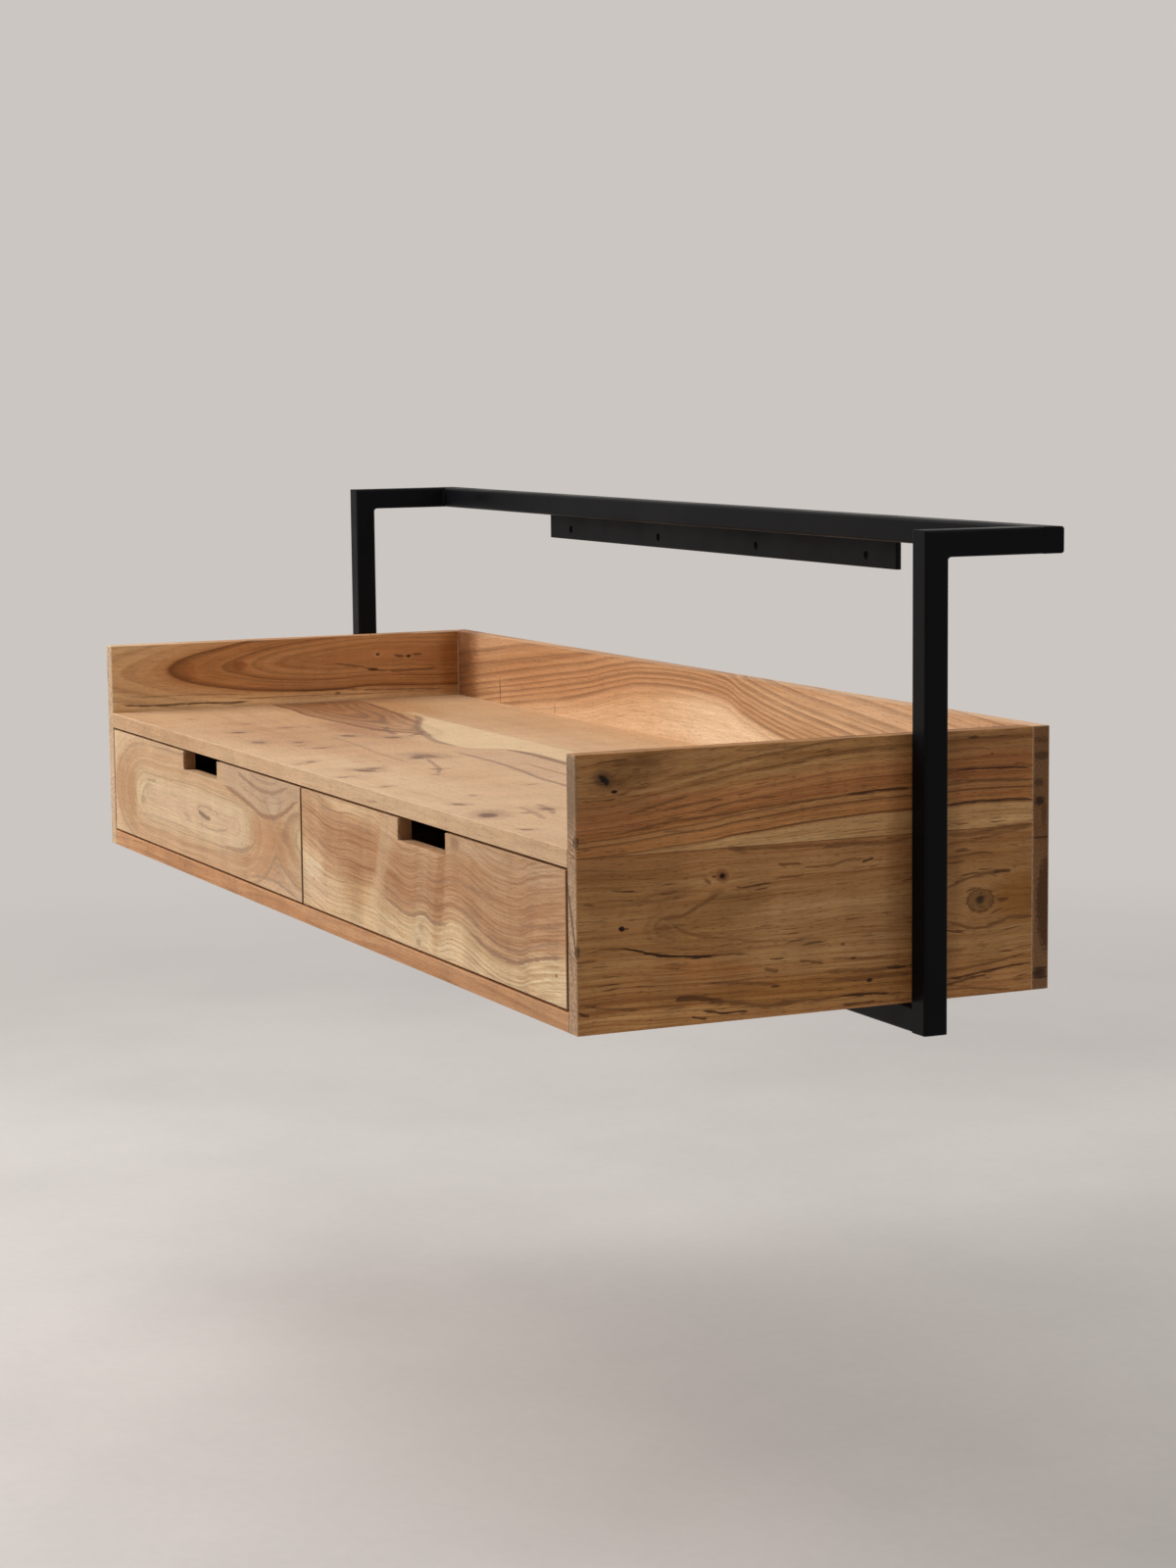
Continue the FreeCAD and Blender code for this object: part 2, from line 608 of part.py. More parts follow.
def make_frame(bolt_holes):
    bar_holes = copies("crossbar_holes", BAR_HOLE, bar_screw_spots())
    post_length = "rail_top - bar_bottom - cap_flange"
    arm_length = "rail_front - post_front"
    for side, corner in (("left", "frame_left"), ("right", "case_right")):
        label = side + "_post"
        post = tube(label, "z", post_length, (corner, "post_front", "bar_bottom + cap_flange"))
        mitre(post, [("-past", post_length + " + past"), ("tube_side + past", post_length + " + past"),
                     ("tube_side + past", post_length + " - tube_side - past")])
        drilled(label, post, [bolt_holes])
        arm = tube(side + "_arm", "y", arm_length, (corner, "post_front", "rail_bottom"))
        mitre(arm, [("-past", "-past"), ("tube_side + past", "-past"), ("-past", "tube_side + past")])
        keep(side + "_arm", arm)

    rail = tube("rear_rail", "x", "frame_right - frame_left - 2*cap_flange",
                ("frame_left + cap_flange", "rail_front", "rail_bottom"))
    keep("rear_rail", rail)
    bar = tube("crossbar", "x", "desk_width", ("case_left", "post_front", "bar_bottom"))
    drilled("crossbar", bar, [bar_holes])

    plate = board("wall_plate", ("plate_length", "plate_thickness", "plate_height"),
                  ("-plate_length/2", "-plate_thickness", "-hole_rise"))
    ease(plate, "plate_ease", edges_on(plate.Shape, ("YMin",)))
    hole = pocket(plate, "y", "-past", "plate_thickness + 2*past",
                  circles=[("plate_length/2 - hole_pitch*%g" % ((WALL_HOLES - 1)/2.0), "hole_rise",
                            "hole_bore")])
    row = plate.newObject("PartDesign::LinearPattern", "wall_hole_row")
    row.Originals = [hole]
    row.Direction = (hole.Profile[0], ["H_Axis"])
    row.Occurrences = WALL_HOLES
    bind(row, "Length", "%d*hole_pitch" % (WALL_HOLES - 1))
    plate.Tip = row
    keep("wall_plate", plate)

    pad_strip = new_body("pad_strip")
    pad(pad_strip, "z", "pad_thickness",
        [rectangle("-pad_length/2", "-tube_flat/2", "pad_length", "tube_flat")])
    pads = copies("pads_whole", pad_strip, bar_screw_spots())
    drilled("crossbar_pads", pads, [bar_holes])
    make_end_caps()
    make_welds()


def make_end_caps():
    """Plastic caps: a flange as wide as the tube and a plug that goes inside it."""
    cap = new_body("end_cap")
    pad(cap, "z", "cap_flange", [rectangle("-tube_side/2", "-tube_side/2", "tube_side", "tube_side")])
    DOC.recompute()
    ease(cap, "tube_round", edges_along(cap.Shape, "z"))
    flange = copies("cap_flange_part", cap, [(("0", "0", "-cap_flange"), "+z")])
    plug = new_body("cap_plug_part")
    plug_side = "(tube_side - 2*tube_wall - 2*cap_play)"
    pad(plug, "z", "cap_plug",
        [rectangle("-%s/2" % plug_side, "-%s/2" % plug_side, plug_side, plug_side)])
    DOC.recompute()
    ease(plug, "tube_round - tube_wall", edges_along(plug.Shape, "z"))
    whole = DOC.addObject("Part::MultiFuse", "whole_cap")
    whole.Shapes = [flange, plug]
    keep("post_foot_caps", copies("post_foot_caps", whole, [
        (("frame_left + tube_side/2", "post_middle", "bar_bottom + cap_flange"), "+z"),
        (("frame_right - tube_side/2", "post_middle", "bar_bottom + cap_flange"), "+z")]))
    keep("rail_end_caps", copies("rail_end_caps", whole, [
        (("frame_left + cap_flange", "rail_front + tube_side/2", "rail_bottom + tube_side/2"), "+x"),
        (("frame_right - cap_flange", "rail_front + tube_side/2", "rail_bottom + tube_side/2"), "-x")]))


def bead(label, leg, length):
    """A weld bead along Z: two flat legs along X and Y from the origin, and a hollow face."""
    block = DOC.addObject("Part::Box", label + "_block")
    rod = DOC.addObject("Part::Cylinder", label + "_hollow")
    for thing, props in ((block, (("Length", leg), ("Width", leg), ("Height", length))),
                         (rod, (("Radius", leg), ("Height", length)))):
        for prop, formula in props:
            bind(thing, prop, formula)
    bind_place(rod, (leg, leg, "0"))
    cut = DOC.addObject("Part::Cut", label)
    cut.Base = block
    cut.Tool = rod
    return cut


def axes(first, second):
    """The turn that lays a bead's two legs along two directions."""
    first = Vector(*first)
    second = Vector(*second)
    return FreeCAD.Rotation(first, second, first.cross(second), "XYZ")


def make_welds():
    """Fillets in the inner corners, and seams that fill the tubes' rounded edges level."""
    fillet = bead("fillet_weld", "weld_leg", "tube_flat")
    seam = bead("seam_weld", "tube_round", "tube_flat")
    stitch = bead("stitch_weld", "tube_round", "stitch_length")
    back, front, left, right = (0, 1, 0), (0, -1, 0), (-1, 0, 0), (1, 0, 0)
    up, down = (0, 0, 1), (0, 0, -1)

    fillets = []
    seams = []
    for low_x, high_x, face, inward in (("frame_left", "case_left", "case_left", right),
                                        ("case_right", "frame_right", "case_right", left)):
        outer_end = high_x + " - tube_round"
        inner_end = low_x + " + tube_round"
        fillets.append(((outer_end, "post_back", "rail_bottom"), axes(back, down)))
        side_legs = (inward, front) if inward == right else (front, inward)
        fillets.append(((face, "rail_front", "rail_top - tube_round"), axes(*side_legs)))
        seams.append(((outer_end, "rail_front", "rail_top"), axes(back, down)))
        seams.append(((inner_end, "rail_front", "rail_bottom"), axes(back, up)))
        outward = left if inward == right else right
        front_legs = (outward, back) if inward == left else (back, outward)
        back_legs = (front, outward) if inward == left else (outward, front)
        seams.append(((face, "post_front", "bar_bottom + tube_round"), axes(*front_legs)))
        seams.append(((face, "post_back", "bar_bottom + tube_round"), axes(*back_legs)))

    stitches = [(("%g*stitch_pitch + stitch_length/2" % (i - (PLATE_WELDS - 1)/2.0), "rail_back",
                  "rail_bottom"), axes(front, up)) for i in range(PLATE_WELDS)]
    keep("frame_welds", gather("frame_welds", [
        copies("fillet_welds", fillet, fillets), copies("seam_welds", seam, seams),
        copies("plate_welds", stitch, stitches)]))


# ---------------------------------------------------------------- drawers

def make_drawer(side):
    """One drawer: front, two sides, back, bottom and the dowels that join them."""
    prefix = side + "_drawer_"
    box_left = BAY_LEFT[side] + " + runner_width"
    box_right = BAY_LEFT[side] + " + bay_width - runner_width"
    pin_spots = []
    for height in ("box_bottom + pin_low", "box_bottom + pin_high"):
        for edge, turn, sign in ((box_left, "+x", "+"), (box_right, "-x", "-")):
            pin_spots.append((("%s %s drawer_board/2" % (edge, sign), "front_back", height), "+y"))
            pin_spots.append((("%s %s drawer_board" % (edge, sign),
                               "front_back + drawer_length - drawer_board/2", height), turn))
    pins = keep(prefix + "dowels", copies(prefix + "dowels", PIN, pin_spots))
    screws = keep(prefix + "runner_screws", copies(
        prefix + "runner_screws", SCREW, runner_spots(side, "runner_width - runner_sheet", False)))

    make_drawer_front(side, pins)
    for hand, corner, groove_at in (("left", box_left, "drawer_board - groove_depth"),
                                    ("right", box_right + " - drawer_board", "0")):
        label = prefix + hand + "_side"
        wall = board(label, ("drawer_board", "drawer_length", "drawer_side_height"),
                     (corner, "front_back", "box_bottom"))
        ease(wall, "edge_round", edges_on(wall.Shape, ("ZMax",), ("YMin",)))
        pocket(wall, "x", groove_at, "groove_depth",
               [rectangle("-past", "groove_rise", "drawer_length + 2*past", "drawer_bottom")])
        drilled(label, wall, [pins, screws])

    back = board(prefix + "back", ("box_inside", "drawer_board",
                                   "drawer_side_height - groove_rise - drawer_bottom"),
                 (box_left + " + drawer_board", "front_back + drawer_length - drawer_board",
                  "box_bottom + groove_rise + drawer_bottom"))
    ease(back, "edge_round", edges_on(back.Shape, ("ZMax",), ("XMin", "XMax")))
    drilled(prefix + "back", back, [pins])

    keep(prefix + "bottom", board(prefix + "bottom", (
        "box_inside + 2*tongue", "drawer_length + tongue", "drawer_bottom"), (
        box_left + " + drawer_board - tongue", "front_back - tongue", "box_bottom + groove_rise")))


def make_drawer_front(side, pins):
    """Solid front with an open finger notch in the middle of its top edge."""
    label = side + "_drawer_front"
    front = new_body(label, (FRONT_LEFT[side], "case_front", "floor_top + front_gap"))
    notch_left = "front_width/2 - notch_width/2"
    notch_right = "front_width/2 + notch_width/2"
    pad(front, "y", "front_board", [[
        ("0", "0"), ("front_width", "0"), ("front_width", "front_height"),
        (notch_right, "front_height"), (notch_right, "front_height - notch_depth"),
        (notch_left, "front_height - notch_depth"), (notch_left, "front_height"),
        ("0", "front_height")]])
    DOC.recompute()
    ease(front, "edge_round", edges_on(front.Shape, ("YMin",)))
    groove_left = "%s + runner_width + drawer_board - tongue - (%s)" % (BAY_LEFT[side], FRONT_LEFT[side])
    pocket(front, "y", "front_board - groove_depth", "groove_depth", [rectangle(
        groove_left, "box_bottom + groove_rise - floor_top - front_gap",
        "box_inside + 2*tongue", "drawer_bottom")])
    drilled(label, front, [pins])


# ---------------------------------------------------------------- telescopic runners

def outer_profile():
    """Outer rail: a channel open towards the drawer, its ends turned in over the balls."""
    lip = "half_outer - runner_sheet - race_lip"
    upper = [("runner_sheet", "half_outer - runner_sheet"),
             ("outer_end - runner_sheet", "half_outer - runner_sheet"),
             ("outer_end - runner_sheet", lip), ("outer_end", lip),
             ("outer_end", "half_outer"), ("0", "half_outer")]
    return mirrored(upper)


def middle_profile():
    """Middle rail: its web stands past its flanges as an outer lip, and their ends turn in."""
    flange_under = "half_middle - runner_sheet"
    lip = flange_under + " - race_lip"
    upper = [("middle_web + runner_sheet", flange_under), ("middle_end - runner_sheet", flange_under),
             ("middle_end - runner_sheet", lip), ("middle_end", lip), ("middle_end", "half_middle"),
             ("middle_web + runner_sheet", "half_middle"),
             ("middle_web + runner_sheet", "half_middle + race_lip"),
             ("middle_web", "half_middle + race_lip")]
    return mirrored(upper)


def inner_profile():
    """Inner rail: a channel open towards the cabinet wall, its ends turned out."""
    under = "half_inner - runner_sheet"
    tip = "half_inner + race_lip"
    upper = [("runner_width - runner_sheet", under), ("inner_start", under), ("inner_start", tip),
             ("inner_start + runner_sheet", tip), ("inner_start + runner_sheet", "half_inner"),
             ("runner_width", "half_inner")]
    return mirrored(upper)


def cage_profile(web, end, up):
    """Ball cage: a thin channel whose two strips run through the races."""
    low = "%s - cage_sheet/2" % up
    high = "%s + cage_sheet/2" % up
    return mirrored([(web + " + cage_sheet", low), (end, low), (end, high), (web, high)])


def mirrored(upper):
    """Close the upper half of a rail's profile with its mirror image below."""
    lower = [(out, "-(%s)" % high) for out, high in reversed(upper)]
    return upper + lower


def rail_body(label, side, hand, profile, start, length):
    """A length of rail profile along Y beside one wall of a bay."""
    body = new_body(label, (wall_of(side, hand), "runner_front + " + start, "runner_middle"))
    corners = [("%d*(%s)" % (SIGN[hand], out), up) for out, up in profile]
    pad(body, "y", length, [corners])
    return body


def ball_rows(side, start, out):
    """Where the balls of one stage stand along both runners, at mid height."""
    rows = []
    for hand in SIDES:
        across = "%s + %d*(%s)" % (wall_of(side, hand), SIGN[hand], out)
        for i in range(BALLS_PER_ROW):
            rows.append((across, "runner_front + %s + ball_first + %d*ball_pitch" % (start, i)))
    return rows


def make_balls(side, stage, start, out, up):
    """The balls of one stage, and the holes that they leave in their cages."""
    ball = DOC.addObject("Part::Sphere", "ball")
    bind(ball, "Radius", "ball_bore/2")
    rod = DOC.addObject("Part::Cylinder", "ball_hole")
    bind(rod, "Radius", "ball_bore/2 + cage_play")
    bind(rod, "Height", "runner_height")
    rows = ball_rows(side, start, out)
    spots = [((x, y, "runner_middle %s (%s)" % (sign, up)), "+z") for x, y in rows for sign in "+-"]
    label = "%s_drawer_%s_balls" % (side, stage)
    keep(label, copies(label, ball, spots))
    return copies(label + "_holes", rod, [((x, y, "runner_middle - half_outer"), "+z") for x, y in rows])


def make_runners(side):
    """Both telescopic runners of one drawer, closed."""
    prefix = side + "_drawer_"
    cabinet_screws = NODES[prefix + "cabinet_screws"]
    drawer_screws = NODES[prefix + "runner_screws"]
    for hand in SIDES:
        label = prefix + hand + "_outer_rail"
        drilled(label, rail_body(label, side, hand, outer_profile(), "0", "runner_length"),
                [cabinet_screws])
        label = prefix + hand + "_middle_rail"
        keep(label, rail_body(label, side, hand, middle_profile(), "0", "runner_length - middle_short"))
        label = prefix + hand + "_inner_rail"
        drilled(label, rail_body(label, side, hand, inner_profile(), "0", "runner_length"),
                [drawer_screws])
    for stage, end in (("outer", "outer_end"), ("inner", "middle_end")):
        start = stage + "_cage_start"
        out = stage + "_ball_out"
        up = stage + "_ball_up"
        web = stage + "_cage_web"
        holes = make_balls(side, stage, start, out, up)
        label = "%s%s_cages" % (prefix, stage)
        strips = [rail_body(label + "_" + hand, side, hand, cage_profile(web, end, up), start, "cage_length")
                  for hand in SIDES]
        drilled(label, gather(label + "_pair", strips), [holes])


# ---------------------------------------------------------------- build, check and write

def check_document():
    """Stop if a feature failed or a finished piece isn't sound."""
    DOC.recompute()
    for thing in DOC.Objects:
        if "Invalid" in thing.State or "Error" in thing.State:
            raise RuntimeError("%s failed: %s" % (thing.Label, thing.State))
    for label, thing in NODES.items():
        if thing.Shape.isNull() or not thing.Shape.isValid() or not thing.Shape.Solids:
            raise RuntimeError(label + " has no sound shape")


def write_parts():
    os.makedirs("parts", exist_ok=True)
    for label, thing in sorted(NODES.items()):
        thing.Shape.exportStep(os.path.join("parts", label + ".step"))
    print("wrote %d parts" % len(NODES))


make_frame(make_case())
for drawer_side in SIDES:
    make_drawer(drawer_side)
    make_runners(drawer_side)
check_document()
write_parts()
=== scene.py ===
"""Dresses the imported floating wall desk: solid acacia boards carried by a black welded steel frame.

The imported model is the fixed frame. Its origin is the middle of the wall plate's row of holes on the wall
plane, X runs to the right along the wall, the front is at minus Y and Z is up. The wood is a solid texture:
a growth field gives each point its distance across the growth rings, and bands, ribs, lines and pores are
read from that field, so that faces, edges and end grain of a board agree.

The shaders and the studio work in metres. What is set out on a board, such as places, paths, widths and
distances across the rings, is written in millimetres, and MM turns it into metres where it is used.
"""

from __future__ import annotations

import logging
import math
from dataclasses import dataclass
from enum import Enum
from typing import Any, Mapping, Sequence, Union

import bpy
import numpy as np
from mathutils import Matrix, Vector

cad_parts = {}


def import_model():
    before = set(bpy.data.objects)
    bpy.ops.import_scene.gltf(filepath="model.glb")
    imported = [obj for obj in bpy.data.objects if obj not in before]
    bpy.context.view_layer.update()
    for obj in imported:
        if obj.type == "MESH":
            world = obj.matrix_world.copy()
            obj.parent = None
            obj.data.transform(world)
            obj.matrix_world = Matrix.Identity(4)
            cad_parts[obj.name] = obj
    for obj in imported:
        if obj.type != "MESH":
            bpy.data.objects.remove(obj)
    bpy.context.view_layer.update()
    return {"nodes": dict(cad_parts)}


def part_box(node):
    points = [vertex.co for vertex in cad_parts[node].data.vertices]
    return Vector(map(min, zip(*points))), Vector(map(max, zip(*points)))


LOG = logging.getLogger("wall_desk")
MM = 0.001
Colour = tuple[float, float, float]
Point = tuple[float, float, float]


# ---------------------------------------------------------------------------------------------------
# Shader maths
# ---------------------------------------------------------------------------------------------------


class Field:
    """A number that varies over a surface: one output socket, with the operators of arithmetic."""

    def __init__(self, net: Net, socket: bpy.types.NodeSocket) -> None:
        """Wraps a socket of the net's node tree."""
        self.net = net
        self.socket = socket

    def __add__(self, other: Term) -> Field:
        """This plus other."""
        return self.net.maths("ADD", self, other)

    def __sub__(self, other: Term) -> Field:
        """This minus other."""
        return self.net.maths("SUBTRACT", self, other)

    def __rsub__(self, other: Term) -> Field:
        """Other minus this."""
        return self.net.maths("SUBTRACT", other, self)

    def __mul__(self, other: Term) -> Field:
        """This times other."""
        return self.net.maths("MULTIPLY", self, other)

    def __truediv__(self, other: Term) -> Field:
        """This over other."""
        return self.net.maths("DIVIDE", self, other)

    def __rtruediv__(self, other: Term) -> Field:
        """Other over this."""
        return self.net.maths("DIVIDE", other, self)

    def __pow__(self, other: Term) -> Field:
        """This to the power other."""
        return self.net.maths("POWER", self, other)

    def __abs__(self) -> Field:
        """This without its sign."""
        return self.net.maths("ABSOLUTE", self)

    __radd__ = __add__
    __rmul__ = __mul__

    def scaled(self, factor: Term, offset: Term) -> Field:
        """This times factor, plus offset."""
        return self.net.maths("MULTIPLY_ADD", self, factor, offset)

    def root(self) -> Field:
        """The square root of this."""
        return self.net.maths("SQRT", self)

    def exp(self) -> Field:
        """e to the power of this."""
        return self.net.maths("EXPONENT", self)

    def log(self) -> Field:
        """The natural logarithm of this."""
        return self.net.maths("LOGARITHM", self, math.e)

    def least(self, other: Term) -> Field:
        """The lesser of this and other."""
        return self.net.maths("MINIMUM", self, other)

    def most(self, other: Term) -> Field:
        """The greater of this and other."""
        return self.net.maths("MAXIMUM", self, other)

    def step(self, start: float, end: float, low: float = 0.0, high: float = 1.0) -> Field:
        """A smooth step from low where this is start to high where it is end; start may be the greater."""
        limits = {"From Min": start, "From Max": end, "To Min": low, "To Max": high, "Value": self}
        made = self.net.node("ShaderNodeMapRange", {"interpolation_type": "SMOOTHSTEP"}, limits)
        return Field(self.net, made.outputs["Result"])


Term = Union[Field, float, int, Sequence[float], bpy.types.NodeSocket]


@dataclass(frozen=True)
class Place:
    """A point of a board: its distance along the fibres, across them and through the board."""

    along: Field
    across: Field
    through: Field

    @property
    def net(self) -> Net:
        """The net that the three fields belong to."""
        return self.along.net


class Net:
    """Builds one node tree, in which node() makes every node."""

    def __init__(self, tree: bpy.types.NodeTree) -> None:
        """Takes over a tree and empties it."""
        self.tree = tree
        tree.nodes.clear()
        self._axes: tuple[Field, Field, Field] | None = None

    def node(self, kind: str, settings: Mapping[str, Any] | None = None,
             links: Mapping[str | int, Term] | None = None) -> bpy.types.Node:
        """Makes a node.

        Args:
            kind: the node's type name.
            settings: properties, which are set first; "stops" are a colour ramp's stops and "points" are
                a float curve's points.
            links: values or links of its input sockets, by name or index.

        Returns:
            The node.
        """
        made = self.tree.nodes.new(kind)
        for name, value in (settings or {}).items():
            if name == "stops":
                self._set_stops(made.color_ramp.elements, value)
            elif name == "points":
                self._set_points(made.mapping, value)
            else:
                setattr(made, name, value)
        for key, term in (links or {}).items():
            self._feed(made.inputs[key], term)
        return made

    @staticmethod
    def _set_stops(elements: Any, stops: Sequence[tuple[float, tuple[float, ...]]]) -> None:
        """Gives a colour ramp its stops, each a place and a colour with or without its alpha."""
        while len(elements) < len(stops):
            elements.new(1.0)
        for element, (place, colour) in zip(elements, stops):
            element.position = place
            element.color = (*colour, 1.0)[:4]

    @staticmethod
    def _set_points(mapping: Any, points: Sequence[tuple[float, float]]) -> None:
        """Gives a float curve its points, each a place and a height."""
        curve = mapping.curves[0].points
        while len(curve) < len(points):
            curve.new(0.5, 0.5)
        for knot, point in zip(curve, points):
            knot.location = point
            knot.handle_type = "AUTO_CLAMPED"
        mapping.update()

    def _feed(self, socket: bpy.types.NodeSocket, term: Term) -> None:
        """Links a field or socket to an input, or sets the input's value."""
        if isinstance(term, Field):
            self.tree.links.new(term.socket, socket)
        elif isinstance(term, bpy.types.NodeSocket):
            self.tree.links.new(term, socket)
        elif isinstance(term, (int, float)):
            socket.default_value = term
        elif socket.type == "RGBA" and len(term) == 3:
            socket.default_value = (*term, 1.0)
        else:
            socket.default_value = tuple(term)

    def maths(self, operation: str, *terms: Term) -> Field:
        """One Math node's result."""
        made = self.node("ShaderNodeMath", {"operation": operation}, dict(enumerate(terms)))
        return Field(self, made.outputs[0])

    def axes(self) -> tuple[Field, Field, Field]:
        """The point's X, Y and Z in the frame of the part."""
        if self._axes is None:
            spot = self.node("ShaderNodeTexCoord").outputs["Object"]
            parts = self.node("ShaderNodeSeparateXYZ", links={0: spot}).outputs
            self._axes = tuple(Field(self, part) for part in parts)
        return self._axes

    def vector(self, x: Term, y: Term, z: Term) -> bpy.types.NodeSocket:
        """A vector from three numbers."""
        return self.node("ShaderNodeCombineXYZ", links={0: x, 1: y, 2: z}).outputs[0]

    def grey(self, value: Term) -> bpy.types.NodeSocket:
        """A grey of one value."""
        return self.node("ShaderNodeCombineColor", links={0: value, 1: value, 2: value}).outputs[0]

    def noise(self, spot: bpy.types.NodeSocket, detail: float = 2.0, rough: float = 0.5) -> Field:
        """Cloudy noise from 0 to 1, one cell to a unit of spot."""
        links = {"Vector": spot, "Scale": 1.0, "Detail": detail, "Roughness": rough}
        return Field(self, self.node("ShaderNodeTexNoise", links=links).outputs[0])

    def mix(self, low: Term, high: Term, share: Term, blend: str = "MIX") -> bpy.types.NodeSocket:
        """A colour between low and high, by share from 0 to 1."""
        settings = {"data_type": "RGBA", "blend_type": blend}
        return self.node("ShaderNodeMix", settings, {0: share, 6: low, 7: high}).outputs[2]

    def surface(self, shader: bpy.types.NodeSocket) -> None:
        """Ends the tree with its output node."""
        kind = "ShaderNodeOutputMaterial"
        if isinstance(self.tree.id_data, bpy.types.World):
            kind = "ShaderNodeOutputWorld"
        self.node(kind, links={"Surface": shader})


def new_material(name: str) -> tuple[bpy.types.Material, Net]:
    """An empty node material and the net that fills it."""
    material = bpy.data.materials.new(name)
    material.use_nodes = True
    return material, Net(material.node_tree)


# ---------------------------------------------------------------------------------------------------
# Timber
# ---------------------------------------------------------------------------------------------------


class Lay(Enum):
    """How a board lies: its axes along the fibres, across them and through it, and its show face.

    The last number is the side of the board that the growth field is set out on: 0 low, 1 high.
    """

    DESK = (0, 1, 2, 1)
    FRONT = (0, 2, 1, 0)
    SIDE = (1, 2, 0, 1)
    PEG = (1, 0, 2, 1)


Line = tuple[float, float, float]
Path = tuple[tuple[float, float], ...]
SHARP = 0.3


def drawn_lines(field: Field, lines: Sequence[Line]) -> Field:
    """Darkness of lines drawn at places of a field.

    Args:
        field: distance across the lines, in metres.
        lines: each line's place, strength and soft side. It darkens over the soft side and ends over
            SHARP of that.

    Returns:
        The darkness, from 0 to 1.
    """
    start = lines[0][0] - 1.2 * lines[0][2]
    span = lines[-1][0] + 0.5 * lines[-1][2] - start
    last = 0.0
    clear = (1.0, 1.0, 1.0, 0.0)
    stops = [(0.0, clear)]
    for at, strength, soft in lines:
        begin = max((at - soft - start) / span, last)
        last = (at + SHARP * soft - start) / span
        stops += [(begin, clear), ((at - start) / span, (1.0, 1.0, 1.0, strength)), (last, clear)]
    share = field.scaled(1.0 / (span * MM), -start / span)
    ramp = field.net.node("ShaderNodeValToRGB", {"stops": stops}, {0: share})
    return Field(field.net, ramp.outputs[1])


def drawn_height(place: Place, path: Path) -> tuple[Field, Field]:
    """A smooth line drawn along a board.

    Args:
        place: the point.
        path: places along the board, in order, and the line's heights across it.

    Returns:
        The line's height in metres at the point's place along the board, and the share of its length.
    """
    start, end = path[0][0], path[-1][0]
    heights = [height for _, height in path]
    low, high = min(heights) - 1.0, max(heights) + 1.0
    points = [((along - start) / (end - start), (height - low) / (high - low)) for along, height in path]
    share = place.along.scaled(1.0 / ((end - start) * MM), -start / (end - start))
    curve = place.net.node("ShaderNodeFloatCurve", {"points": points}, {"Value": share}).outputs[0]
    return Field(place.net, curve).scaled((high - low) * MM, low * MM), share


def fibre_noise(place: Place, along: float, across: float, detail: float = 2.0) -> Field:
    """Noise with so many cells to a metre along the fibres and across them."""
    spot = place.net.vector(place.along * along, place.across * across, place.through * across)
    return place.net.noise(spot, detail)


def ring_noise(place: Place, rings: Field, across: float, along: float, seed: float = 0.0,
               detail: float = 1.0) -> Field:
    """Noise with so many cells to a unit of rings and to a metre along the fibres."""
    return place.net.noise(place.net.vector(rings * across, place.along * along, seed), detail)


@dataclass(frozen=True)
class Knot:
    """A branch that the board was cut through.

    at is its place along and across the board, reach how far it turns the rings, stretch how much longer
    it is along the fibres than across, and core the radius of its dark heart.
    """

    at: tuple[float, float]
    reach: float
    core: float
    stretch: float = 1.5

    def distance(self, place: Place) -> Field:
        """Distance from the knot's heart, shortened along the fibres."""
        along = place.along.scaled(1.0 / self.stretch, -self.at[0] * MM / self.stretch)
        across = place.across - self.at[1] * MM
        return across.scaled(across, along * along).root()

    def turn(self, field: Field, place: Place) -> Field:
        """Leads the rings round the knot: takes offset reach^2 / (distance^2 + reach^2) from the field."""
        distance = self.distance(place)
        square = (self.reach * MM) ** 2
        return field - (place.across - self.at[1] * MM) * (square / (distance * distance + square))


@dataclass(frozen=True)
class Mark:
    """A soft-edged ellipsoid of another colour: a streak, stain, crack, small hole or patch of painted
    shade.

    at and size are its centre and radii along X, Y and Z; an axis whose size is 0 is left out. lean is
    its rise along the last axis over its run along the first.
    """

    at: Point
    size: Point
    colour: Colour
    strength: float = 0.8
    soft: float = 0.8
    lean: float = 0.0

    def mask(self, ragged: Field) -> Field:
        """1 inside the ellipsoid, 0 outside it, with an edge that ragged noise breaks up."""
        used = [axis for axis in range(3) if self.size[axis] > 0]
        first, last = used[0], used[-1]
        total = ragged * 1.5
        axes = ragged.net.axes()
        for axis in used:
            place, at, size = axes[axis], self.at[axis], self.size[axis]
            if self.lean and axis == last:
                place = axes[first].scaled(-self.lean, place)
                at -= self.lean * self.at[first]
            share = place.scaled(1.0 / (size * MM), -at / size)
            total = share.scaled(share, total)
        return total.step(1.0 + self.soft, 1.0 - self.soft, 0.0, self.strength)


@dataclass(frozen=True)
class Figure:
    """Rings drawn round a point of the board: an eye, the rings of a knot or hanging arcs.

    at is its centre along and across the board, stretch its length over its height, lines its rings by
    their radii across the board and window, if there is one, the part of the board where they show.
    """

    at: tuple[float, float]
    stretch: float
    lines: tuple[Line, ...]
    colour: Colour
    window: Mark | None = None
    wander: float = 4.0

    def mask(self, place: Place, ragged: Field) -> Field:
        """How dark the rings are, with a radius that ragged noise bends by up to half of wander."""
        distance = Knot(self.at, 1.0, 0.0, self.stretch).distance(place) + ragged * (self.wander * MM)
        dark = drawn_lines(distance, self.lines)
        return dark * self.window.mask(ragged) if self.window else dark


@dataclass(frozen=True)
class Stroke:
    """A thin dark line that wanders along the board, such as a crack; it thins out at its ends."""

    path: Path
    width: float
    strength: float
    colour: Colour


